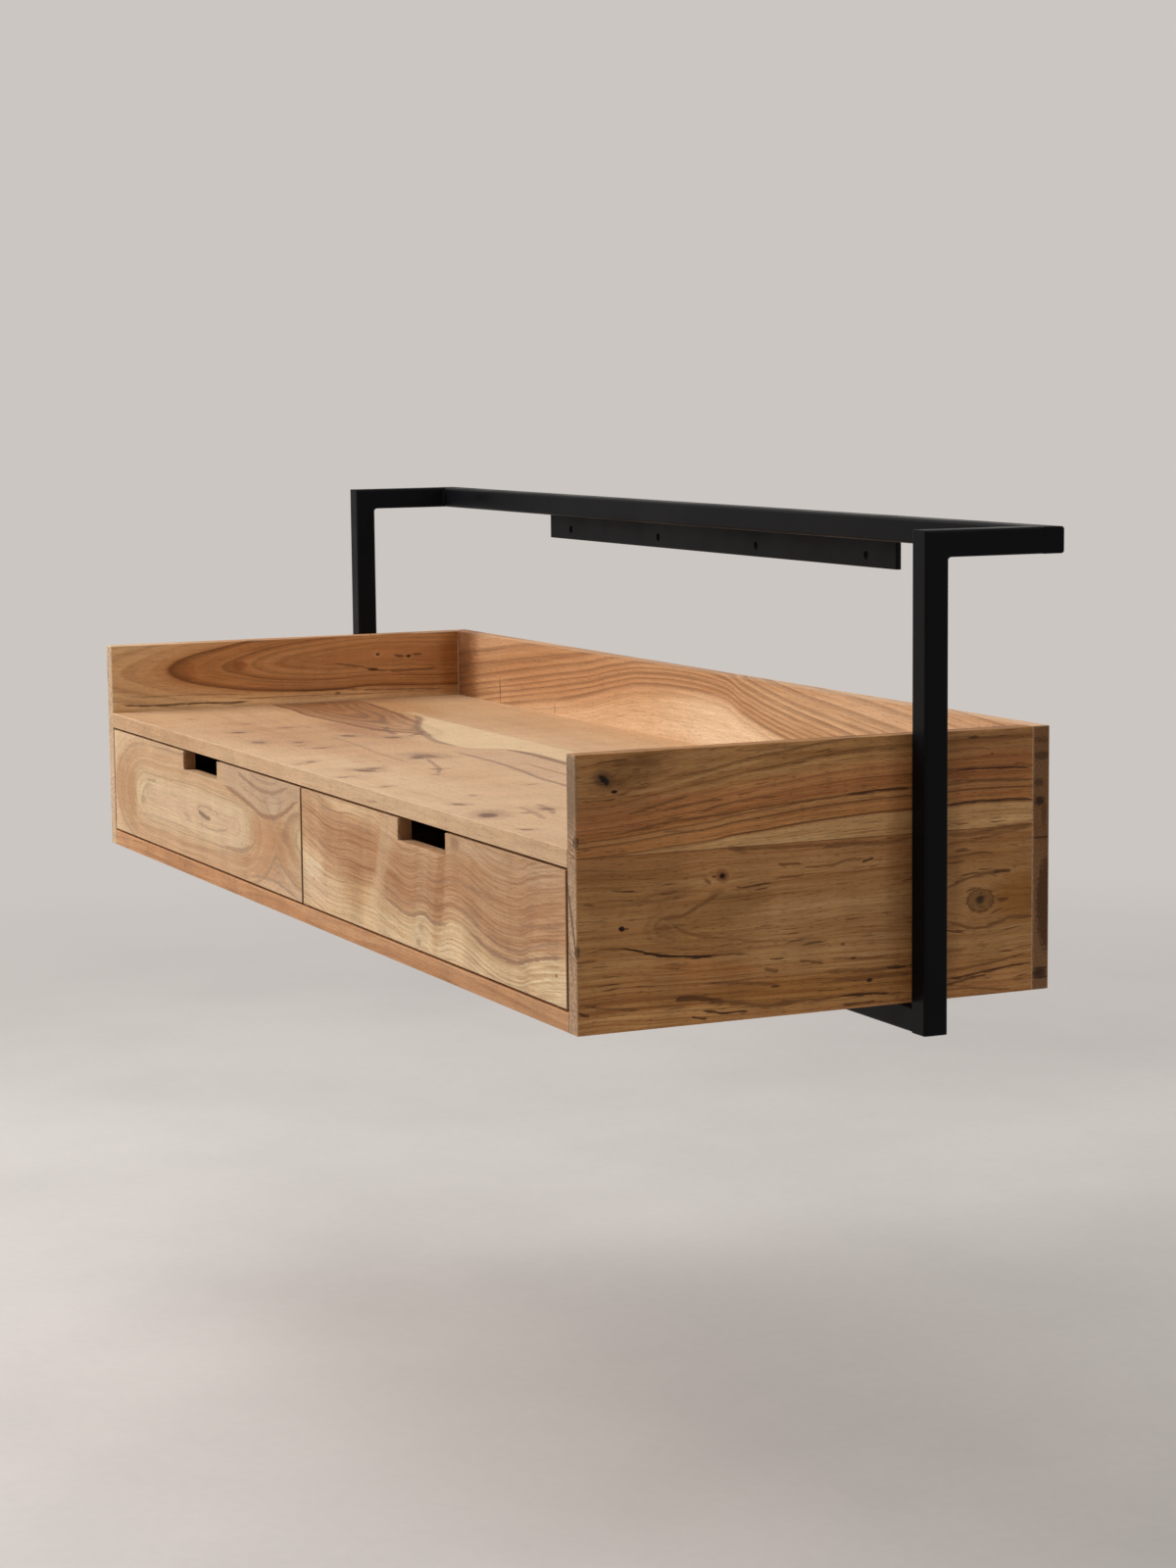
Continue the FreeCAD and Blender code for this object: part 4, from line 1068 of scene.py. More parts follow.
class Carcass:
    """The case: two side panels, back, writing surface, bottom and divider, with their dowels."""

    def __init__(self, nodes: Mapping[str, bpy.types.Object]) -> None:
        """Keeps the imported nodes."""
        self.nodes = nodes

    def boards(self) -> dict[str, Board]:
        """Every board of the case and its looks."""
        return {
            "desktop_panel": self._desktop(),
            "left_side_panel": self._left_side(),
            "right_side_panel": self._right_side(),
            "back_panel": self._back(),
            "bottom_panel": Board(Lay.DESK, Growth(12, 600, seed=4.0), SALMON),
            "centre_divider": Board(Lay.SIDE, Growth(12, 500, seed=9.0), RUSSET),
            "carcass_dowels": Board(Lay.DESK, Growth(1, 100), PEG),
        }

    def _desktop(self) -> Board:
        """Honey board: a brown swirl near its left end, pale sapwood and a smooth stave along the back."""
        front = Cathedral(5, 130, 0.5, 2.0, (Knot((-265, -250), 18, 1, 1.6),),
                          centre=-222, end=-720, rise=0.125, lean=-0.56, power=1.8)
        rear = Growth(4, 900, 0.4, 6.0)
        growth = Staves(joint=DESK_JOINT, lower=front, upper=rear)
        warm = (0.99, 0.95, 0.9)
        brown, tan = (0.66, 0.49, 0.38), (0.8, 0.66, 0.54)
        zones = ((-260, warm, 0.12), (-12, warm, 0.12), (-2, brown, 1.0), (16, (0.74, 0.57, 0.45), 1.0),
                 (26, tan, 0.9), (38, (0.72, 0.56, 0.46), 1.0), (50, (0.84, 0.71, 0.6), 0.9),
                 (60, (0.74, 0.58, 0.48), 0.9), (64, (0.98, 0.95, 0.91), 0.16), (110, AS_IS, 0.12),
                 (280, (1.02, 1.03, 1.04), 0.1))
        lines = ((10, 0.75, 8), (20, 0.7, 8), (30, 0.85, 9), (41, 0.8, 10), (50, 0.65, 7), (60, 0.95, 9))
        washes = (
            Mark((-620, -200, 0), (200, 80, 0), (0.78, 0.62, 0.46), 0.8, 0.9),
            Mark((-550, -380, 0), (360, 160, 0), (0.86, 0.79, 0.72), 0.9, 0.9),
            Mark((-280, -370, 0), (240, 90, 0), (0.88, 0.8, 0.75), 0.9, 0.9),
            Mark((-350, -297, 0), (90, 26, 0), (0.84, 0.78, 0.78), 0.9, 0.9),
            Mark((-500, -120, 0), (300, 60, 0), (0.88, 0.84, 0.78), 0.9, 0.9),
            Mark((60, -370, 0), (140, 45, 0), (0.92, 0.87, 0.84), 0.6, 0.9),
        )
        bark, dusk = (0.2, 0.105, 0.065), (0.47, 0.285, 0.18)
        figures = (
            Band(((-500, -160), (-400, -168), (-100, -172), (200, -172), (680, -172)),
                 ((-500, -172), (-440, -176), (-367, -206), (-300, -232), (-233, -252), (-160, -266),
                  (-90, -260), (-55, -232), (20, -223), (100, -225), (400, -232), (680, -236)),
                 (0.655, 0.475, 0.275), 0.75, 6),
            Band(((-110, -262), (-85, -250), (-50, -232), (20, -224), (100, -226), (680, -236)),
                 ((-110, -275), (-20, -290), (50, -297), (200, -306), (400, -318), (680, -330)), dusk, 0.42,
                 10),
            Stroke(((-480, -168), (-420, -186), (-367, -209), (-300, -234), (-245, -247), (-200, -260),
                    (-150, -266), (-100, -262)), 11, 0.62, bark),
            Stroke(((-105, -268), (-85, -258), (-70, -241), (-40, -226), (10, -223), (75, -226),
                    (300, -234), (600, -238)), 13, 0.8, bark),
            Stroke(((-360, -250), (-333, -264), (-300, -273), (-265, -277)), 9, 0.75, bark),
            Stroke(((-285, -236), (-262, -250), (-250, -262), (-243, -272)), 14, 0.7, bark),
            Stroke(((-100, -288), (-8, -287), (133, -295), (217, -305), (500, -312)), 7, 0.6, bark),
            Stroke(((-20, -340), (30, -352), (75, -364), (120, -385)), 6, 0.55, bark),
            Stroke(((50, -262), (200, -268), (350, -266), (550, -276)), 6, 0.45, bark),
            Stroke(((390, -392), (430, -398), (470, -410)), 8, 0.5, bark),
            Stroke(((400, -416), (440, -420), (500, -432)), 7, 0.45, bark),
            Stroke(((-300, -352), (-200, -356), (-100, -366), (20, -372)), 6, 0.35, bark),
        )
        return Board(Lay.DESK, growth, HONEY, zones, lines, washes, figures, desk_knots(), (DESK_JOINT,))

    def _left_side(self) -> Board:
        """Brown board whose pointed arches open to the back."""
        knots = (Knot((-136, -170), 8, 2.2), Knot((-93, -174), 8, 2.4))
        growth = Cathedral(2.6, 200, 0.8, 1.0, knots, centre=-173.5, end=-170, rise=-0.16,
                           lean=-0.11, power=1.7)
        heart, rear = (0.67, 0.54, 0.43), (0.66, 0.5, 0.38)
        zones = ((0, rear, 0.6), (12, heart, 0.6), (20, (0.78, 0.65, 0.53), 0.4),
                 (26, (0.68, 0.52, 0.4), 0.4), (30, (0.76, 0.64, 0.53), 0.3), (38, (0.66, 0.51, 0.4), 0.4),
                 (41.5, (0.74, 0.64, 0.56), 0.3), (50, (0.94, 0.95, 1.0), 0.5),
                 (58, (0.98, 1.1, 1.24), 0.6), (120, (1.0, 1.12, 1.28), 0.5))
        lines = ((9.5, 0.22, 3), (15, 0.25, 3), (21.3, 0.42, 3), (27.5, 0.55, 3.5), (31, 0.3, 2.5),
                 (40.4, 0.78, 3.6), (50, 0.22, 4), (58, 0.25, 4), (66, 0.3, 5), (83, 0.25, 6))
        washes = (
            # Painted shade: a darker band down the rear end, in the corner against the back panel.
            Mark((0, -25, -185), (0, 22, 90), (0.74, 0.6, 0.44), 0.8, 0.9),
            Mark((0, -402, -179), (0, 20, 14), (0.66, 0.52, 0.42), 0.55, 0.9),
            Mark((0, -260, -219), (0, 130, 7), (1.26, 1.32, 1.3), 0.8, 0.9),
            Mark((0, -325, -176), (0, 10, 6), (0.58, 0.44, 0.34), 0.85, 0.9),
        )
        ink = (0.1, 0.042, 0.018)
        figures = (
            Stroke(((-205, -178), (-160, -185), (-145, -189), (-100, -192), (-40, -191)), 2.6, 0.6, ink),
            Stroke(((-115, -171), (-98, -174), (-88, -173), (-72, -172)), 3.6, 0.75, ink),
            Stroke(((-490, -218), (-430, -221.5), (-390, -221), (-340, -222.5), (-305, -222)), 2.4, 0.85,
                   ink),
            Stroke(((-490, -205), (-440, -210), (-400, -210), (-300, -215)), 1.8, 0.35, ink),
            Stroke(((-350, -218), (-290, -218.5), (-200, -219), (-120, -221.5)), 1.6, 0.45, ink),
            Stroke(((-265, -212), (-200, -212.5), (-130, -216), (-30, -219)), 2.6, 0.55, ink),
        )
        marks = (Mark((0, -143, -189), (0, 7, 2.2), CRACK, 0.8, 0.7),
                 Mark((0, -192, -218), (0, 4, 1.8), CRACK, 0.6, 0.8))
        return Board(Lay.SIDE, growth, ARCHED, zones, lines, washes, figures, marks, end=(0.55, 0.4, 0.27),
                     arris=(0.74, 0.58, 0.42))

    def _right_side(self) -> Board:
        """Two staves: reddish bands that rise to the back over a plainer board with knots."""
        upper = Waves(1.4, 200, 0.5, 3.0, (Knot((-466, -167), 12, 3, 1.2),), line=(
            (-500, -235), (-440, -232.2), (-400, -229.3), (-360, -226.8), (-340, -224),
            (-300, -221.2), (-250, -217), (-200, -214.2), (-120, -212.2), (-80, -210.5),
            (0, -213)), spread=0.75)
        lower = Growth(5, 200, 0.5, 7.0, (
            Knot((-79, -304), 24, 4, 1.25), Knot((-350, -261), 9, 3, 1.1)))
        growth = Staves(joint=SIDE_JOINT, lower=lower, upper=upper)
        red, olive = (1.12, 1.02, 0.92), (1.3, 1.58, 1.85)
        zones = ((-420, (1.1, 1.12, 1.1), 0.9), (-360, (1.04, 1.06, 1.02), 0.8),
                 (-335, (1.04, 1.12, 1.16), 0.35), (-295, (1.02, 1.12, 1.18), 0.2),
                 (-262, (1.0, 1.04, 1.06), 0.25), (-240, (0.9, 0.86, 0.82), 0.6), (-35, olive, 0.15),
                 (-3, olive, 0.15), (0.5, red, 0.6), (8, (1.1, 0.98, 0.86), 0.8),
                 (14.5, (1.05, 1.02, 0.98), 0.5), (24, (1.06, 0.96, 0.86), 0.9),
                 (42, (1.02, 0.94, 0.86), 0.7), (55, (0.96, 1.0, 0.98), 0.35),
                 (100, (0.97, 1.02, 1.02), 0.3))
        lines = ((0.3, 0.9, 2.8), (6, 0.35, 2), (12.8, 0.82, 2.4), (19.5, 0.72, 2.2), (27, 0.35, 3),
                 (33, 0.55, 3), (42, 0.4, 3), (50, 0.3, 3), (60, 0.45, 4), (72, 0.35, 3))
        washes = (
            Mark((0, -440, -161), (0, 40, 15), (0.62, 0.6, 0.54), 0.85, 0.9, 0.18),
            Mark((0, -70, -176), (0, 64, 34), (0.8, 0.72, 0.68), 0.85, 0.9),
            Mark((0, -290, -176), (0, 150, 24), (1.14, 1.18, 1.2), 0.85, 0.9, 0.12),
            Mark((0, -113, -250), (0, 13, 130), (0.78, 0.76, 0.72), 0.8, 0.9),
            Mark((0, -65, -262), (0, 50, 18), (0.9, 0.88, 0.8), 0.8, 0.9),
            Mark((0, -445, -262), (0, 60, 18), (0.84, 0.84, 0.76), 0.8, 0.9),
            Mark((0, -348, -290), (0, 50, 14), (0.78, 0.78, 0.72), 0.8, 0.9, 0.3),
            Mark((0, -240, -318), (0, 95, 30), (1.12, 1.22, 1.36), 0.8, 0.9),
            Mark((0, -410, -386), (0, 75, 10), (1.16, 1.24, 1.3), 0.8, 0.9),
            Mark((0, -370, -343), (0, 50, 8), (1.02, 0.88, 0.78), 0.8, 0.9, -0.12),
            Mark((0, -260, -372), (0, 120, 12), (1.0, 0.98, 0.76), 0.7, 0.9),
            # Painted shadow of the post: a darker vertical band on the panel just in front of it.
            Mark((0, -158, -270), (0, 20, 135), (0.66, 0.58, 0.5), 0.75, 0.9),
            Mark((0, -36, -302), (0, 30, 22), (0.7, 0.56, 0.24), 0.8, 0.9),
            Mark((0, -60, -344), (0, 60, 20), (0.95, 1.0, 0.98), 0.7, 0.9),
        )
        figures = (
            Band(((-494, -187), (-440, -186), (-400, -180), (-360, -183), (-300, -178), (-160, -166)),
                 ((-494, -214), (-440, -212), (-400, -205), (-360, -202), (-300, -197), (-160, -190)), RUST,
                 0.32, 5),
            Stroke(((-447, -183), (-400, -176.5), (-360, -167.5), (-300, -158)), 3, 0.45,
                   (0.5, 0.28, 0.12)),
            Stroke(((-470, -219), (-440, -214.5), (-400, -208.5), (-350, -205.5), (-300, -201),
                    (-250, -198), (-200, -194.5), (-150, -193)), 2.6, 0.85, BROWN),
            Stroke(((-225, -196), (-200, -194.3), (-150, -193)), 2.6, 0.85, CRACK),
            Stroke(((-445, -200), (-400, -190.5), (-380, -186.5)), 3, 0.75, BROWN),
            Stroke(((-415, -199.5), (-380, -194.5), (-345, -192)), 2.6, 0.7, BROWN),
            Stroke(((-370, -200), (-330, -194.5), (-290, -192)), 2.4, 0.6, BROWN),
            Stroke(((-410, -169), (-360, -164), (-330, -158), (-250, -148)), 3, 0.55, BROWN),
            Stroke(((-340, -150), (-260, -148), (-200, -144)), 2.2, 0.5, BROWN),
            Stroke(((-250, -160), (-210, -157), (-165, -156)), 2.6, 0.55, BROWN),
            Stroke(((-108, -180), (-60, -180.5), (-40, -181.5), (-22, -184)), 2.2, 0.9, CRACK),
            Stroke(((-120, -192), (-85, -190.5), (-60, -192), (-20, -194.5)), 3, 0.8, BROWN),
            Stroke(((-120, -162), (-90, -160.5), (-65, -164)), 2.6, 0.5, BROWN),
            Stroke(((-120, -212), (-85, -210.5), (-50, -210.5), (-18, -213)), 3, 0.85, CRACK),
            Stroke(((-120, -240), (-95, -241), (-60, -238), (-18, -235.5)), 5, 0.7, BROWN),
            Stroke(((-120, -250), (-80, -246), (-50, -241), (-18, -237)), 3.6, 0.6, BROWN),
            Stroke(((-120, -263), (-95, -260), (-80, -259), (-62, -261)), 3, 0.8, BROWN),
            Stroke(((-120, -289.5), (-100, -284), (-85, -280.5), (-70, -278.8), (-45, -278)), 4, 0.85,
                   BROWN),
            Stroke(((-66, -278.5), (-55, -277.8), (-45, -278)), 4, 0.7, CRACK),
            Stroke(((-120, -319.5), (-100, -326), (-85, -329.5), (-70, -329), (-45, -322.5), (-18, -322)),
                   3.4, 0.85, BROWN),
            Stroke(((-120, -368), (-90, -366), (-60, -363), (-30, -358)), 3, 0.75, BROWN),
            Stroke(((-120, -375.5), (-90, -373.5), (-50, -369), (-18, -367.5)), 2.4, 0.9, CRACK),
            Stroke(((-120, -381.5), (-95, -377.5), (-70, -374)), 2.4, 0.75, CRACK),
            Stroke(((-120, -385), (-90, -386), (-70, -388.5), (-40, -391.5)), 2.6, 0.7, BROWN),
            Figure((-79, -304), 1.35, ((4.5, 0.65, 2), (7.2, 0.45, 2), (10.6, 0.95, 4)),
                   (0.105, 0.04, 0.011), wander=6),
            Stroke(((-350, -237), (-310, -238.5), (-270, -239.5), (-230, -242.5)), 4, 0.7, BROWN),
            Stroke(((-250, -244), (-215, -241), (-185, -243), (-150, -240)), 5, 0.75, BROWN),
            Stroke(((-294, -254.2), (-283, -255), (-268, -256)), 3.4, 0.9, BROWN),
            Stroke(((-270, -259), (-240, -259.2), (-222, -256), (-200, -255)), 2.6, 0.7, BROWN),
            Stroke(((-206, -258.5), (-200, -257.5), (-193, -256)), 2.4, 0.85, CRACK),
            Stroke(((-337, -271.5), (-325, -273), (-310, -272)), 1.8, 0.7, CRACK),
            Stroke(((-480, -274), (-440, -276), (-400, -270), (-370, -269)), 3, 0.45, BROWN),
            Stroke(((-494, -281), (-440, -280), (-400, -278), (-375, -275)), 3.6, 0.4, BROWN),
            Stroke(((-413, -296.5), (-400, -295), (-388, -293), (-375, -287.5), (-362, -281),
                    (-350, -274.5)), 4.2, 0.72, BROWN),
            Stroke(((-404, -298), (-388, -308.5), (-372, -313.5), (-352, -317)), 3.4, 0.6, BROWN),
            Stroke(((-370, -312), (-335, -320), (-290, -325), (-240, -325.5)), 2.2, 0.45, BROWN),
            Figure((-397, -303), 1.9, ((6, 0.3, 3), (11, 0.55, 4), (16, 0.3, 4)), BROWN,
                   Mark((0, -417, -304), (0, 22, 18), AS_IS, 1.0, 0.6), 6),
            Stroke(((-496, -321.2), (-480, -320), (-465, -318), (-450, -319), (-432, -323), (-412, -328),
                    (-395, -330.2), (-375, -332), (-352, -332.5), (-315, -336.5)), 2.8, 0.8, BROWN),
            Stroke(((-455, -318.6), (-445, -319.6), (-432, -323), (-412, -328), (-395, -330.2),
                    (-375, -332), (-352, -332.5)), 2.1, 0.95, INK),
            Stroke(((-372, -357.5), (-352, -358.2), (-325, -360.5), (-290, -364)), 3.2, 0.75, BROWN),
            Stroke(((-400, -371), (-390, -369), (-375, -370), (-360, -373.5), (-345, -376.5)), 6, 0.85,
                   (0.085, 0.03, 0.008)),
            Stroke(((-362, -373.5), (-340, -377), (-300, -383), (-270, -382)), 5, 0.8, BROWN),
            Stroke(((-374, -382), (-362, -383.2), (-345, -386.2), (-322, -386.2)), 2.2, 0.9, CRACK),
            Stroke(((-382, -386.5), (-375, -388), (-365, -389.5)), 2.2, 0.85, CRACK),
            Stroke(((-494, -364), (-475, -370), (-450, -373.5), (-430, -375)), 2.8, 0.75, BROWN),
            Stroke(((-494, -372), (-488, -375), (-482, -376.5)), 3, 0.8, CRACK),
            Stroke(((-302, -340.8), (-295, -341.2), (-286, -340.8)), 2.2, 0.9, CRACK),
            Stroke(((-308, -349), (-302, -350.5), (-292, -352)), 3.4, 0.8, BROWN),
            Stroke(((-272, -345), (-262, -346), (-245, -349.5)), 3.4, 0.8, BROWN),
            Stroke(((-245, -344.8), (-225, -346.5), (-200, -348), (-157, -348)), 2.8, 0.6, BROWN),
            Stroke(((-250, -356.5), (-220, -358), (-200, -359), (-150, -359)), 4, 0.75, BROWN),
            Stroke(((-182, -359.5), (-165, -359.2), (-150, -359)), 3.2, 0.9, CRACK),
            Stroke(((-244, -368), (-225, -366.2), (-205, -367.2), (-180, -366.5), (-150, -366.5)), 4, 0.8,
                   BROWN),
            Stroke(((-310, -380.5), (-298, -383.5), (-285, -381.2), (-250, -382), (-215, -381.2),
                    (-180, -382.8), (-150, -384.2)), 3.4, 0.8, BROWN),
            Stroke(((-232, -381.8), (-215, -381.2), (-195, -382), (-175, -383)), 2.4, 0.95, CRACK),
            Stroke(((-228, -389), (-215, -390), (-190, -389)), 2.4, 0.8, CRACK),
        )
        marks = (
            Mark((0, -448, -153), (0, 7.5, 3), BROWN, 0.7, 0.9),
            Mark((0, -426, -153), (0, 13, 5), BROWN, 0.45, 0.95, -0.2),
            Mark((0, -434, -161), (0, 4, 3), BROWN, 0.6, 0.9),
            Mark((0, -452, -171), (0, 9, 4.5), (0.15, 0.055, 0.016), 0.55, 0.95),
            Mark((0, -465.5, -167), (0, 10, 7.2), (0.1, 0.045, 0.014), 0.8, 0.9, -0.25),
            Mark((0, -466, -167), (0, 5, 3.2), (0.01, 0.004, 0.001), 1.0, 0.8, -0.5),
            Mark((0, -463.5, -169), (0, 2.2, 3.6), (0.014, 0.005, 0.001), 0.95, 0.8),
            Mark((0, -456, -164), (0, 6, 1.6), BROWN, 0.7, 0.8, 0.4),
            Mark((0, -456, -178.5), (0, 3, 1.5), (0.02, 0.002, 0.001), 1.0, 0.6),
            Mark((0, -450, -301), (0, 3, 2.4), (0.012, 0.003, 0.001), 1.0, 0.6),
            Mark((0, -445.5, -301.4), (0, 2.8, 0.9), CRACK, 0.8, 0.8),
            Mark((0, -350, -261), (0, 6.6, 5.6), (0.16, 0.055, 0.018), 0.8, 0.8),
            Mark((0, -349.5, -261), (0, 2.6, 2.4), (0.016, 0.005, 0.001), 1.0, 0.7),
            Mark((0, -358, -261), (0, 2.2, 1.4), CRACK, 0.8, 0.8),
            Mark((0, -364, -265), (0, 3.4, 2.2), BROWN, 0.8, 0.9, -0.5),
            Mark((0, -356, -277), (0, 9, 4), BROWN, 0.45, 0.95, 0.3),
            Mark((0, -408, -303.5), (0, 7, 2.8), BROWN, 0.55, 0.95),
            Mark((0, -334, -238.5), (0, 9, 3), BROWN, 0.6, 0.9, -0.3),
            Mark((0, -79, -304), (0, 15, 10.5), (0.17, 0.078, 0.022), 0.6, 0.5),
            Mark((0, -79.5, -303.5), (0, 4.6, 3.6), (0.03, 0.012, 0.004), 0.9, 0.9),
            Mark((0, -108, -349), (0, 12, 3), BROWN, 0.55, 0.95),
            Mark((0, -87, -150.5), (0, 5.5, 1.3), CRACK, 0.85, 0.8),
            Mark((0, -67, -167), (0, 1.8, 0.9), CRACK, 0.85, 0.8),
            Mark((0, -226, -333), (0, 2.2, 1.6), BROWN, 0.8, 0.8),
            Mark((0, -198, -369), (0, 3.2, 1.8), INK, 0.95, 0.8),
            Mark((0, -296, -366), (0, 4.5, 1.2), CRACK, 0.8, 0.8),
            Mark((0, -215, -347), (0, 3, 1.4), CRACK, 0.7, 0.8),
            Mark((690, -494, -176), (20, 3, 36), (0.22, 0.14, 0.082), 0.85, 0.9),
            Mark((699, -494, -221), (5, 3, 5), (0.05, 0.028, 0.015), 0.85, 0.9),
            Mark((690, -494, -289), (9, 3, 7), (0.06, 0.042, 0.03), 0.8, 0.9, -3.6),
            Mark((687, -494, -324), (5.5, 3, 5.5), (0.13, 0.085, 0.055), 0.55, 0.9, -3.4),
            Mark((699.5, -494, -318.5), (4, 3, 6), (0.04, 0.018, 0.01), 0.85, 0.9),
        )
        return Board(Lay.SIDE, growth, RUSSET, zones, lines, washes, figures, marks, (SIDE_JOINT,),
                     (0.47, 0.31, 0.19), 0.85)

    def _back(self) -> Board:
        """Orange board with one long arch, paler below it."""
        growth = Waves(2.8, 450, 0.6, 5.0, (), line=(
            (-700, -250), (-470, -218), (-300, -196), (-190, -177), (-120, -168),
            (-30, -165), (50, -167), (120, -182), (190, -195), (340, -212), (700, -245)),
            spread=1.4)
        red = (0.93, 0.87, 0.8)
        zones = ((-100, (1.26, 1.46, 1.66), 0.1), (-18, (1.22, 1.38, 1.52), 0.15),
                 (-4, (1.02, 1.02, 1.02), 0.6), (2, red, 1.0), (22, red, 1.0),
                 (40, (0.95, 0.92, 0.88), 1.0), (70, (1.04, 1.06, 1.1), 1.0),
                 (120, (1.05, 1.08, 1.12), 1.0))
        lines = ((-10, 0.2, 5), (-0.2, 0.62, 5), (6, 0.5, 3), (11.5, 0.62, 3.5), (17, 0.5, 3), (23, 0.6, 4),
                 (31, 0.5, 5), (41, 0.5, 6), (54, 0.45, 7), (70, 0.4, 8))
        washes = (
            # Painted shade and stain: a darker wash over the whole height of the left end, in the corner by
            # the left side panel.
            Mark((-668, 0, -186), (46, 0, 120), (0.52, 0.36, 0.24), 0.85, 0.8),
            Mark((340, 0, -200), (360, 0, 50), (1.18, 1.36, 1.54), 0.9, 0.9),
            Mark((-360, 0, -175), (280, 0, 35), (0.88, 0.78, 0.68), 0.75, 0.9),
        )
        shade = (0.034, 0.011, 0.003)
        marks = (
            Mark((-655, 0, -172), (14, 0, 28), (0.12, 0.05, 0.02), 0.4, 0.9),
            Mark((-547, 0, -212), (1.2, 0, 17), CRACK, 0.8, 0.7),
            Mark((-379, 0, -222), (1.1, 0, 7), CRACK, 0.6, 0.7),
            Mark((700, -7, -312), (6, 10.5, 44), (0.06, 0.02, 0.0045), 0.8, 0.3),
            Mark((700, -12.5, -172), (6, 10, 4), shade, 0.65, 0.9, -2.3),
            Mark((700, -12.5, -157), (6, 10, 2.6), shade, 0.45, 0.9, -2.3),
            Mark((700, -16, -197), (6, 6, 4), shade, 0.6, 0.9, -1.8),
            Mark((700, -10, -226), (6, 2.6, 15), shade, 0.4, 0.9),
            Mark((700, -15, -214.5), (6, 5, 4), (0.02, 0.007, 0.003), 0.9, 0.9),
            Mark((700, -13, -249.2), (6, 20, 0.9), shade, 0.8, 0.6),
            Mark((700, -14, -378), (6, 7.5, 4.8), (0.03, 0.01, 0.004), 0.9, 0.9),
            Mark((700, -12, -373.5), (6, 9.5, 1), shade, 0.75, 0.8),
            Mark((700, -12, -382.5), (6, 9.5, 1), shade, 0.75, 0.8),
        )
        return Board(Lay.FRONT, growth, ORANGE, zones, lines, washes, (), marks, (), (0.13, 0.05, 0.011),
                     0.9, (0.42, 0.25, 0.14))

    def build(self) -> None:
        """Dresses the case."""
        for name, board in self.boards().items():
            dress(self.nodes[name], TimberFinish(name + "_wood", board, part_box(name)).build())


# ---------------------------------------------------------------------------------------------------
# The drawers and their runners
# ---------------------------------------------------------------------------------------------------


class Side(Enum):
    """Which drawer."""

    LEFT = "left"
    RIGHT = "right"


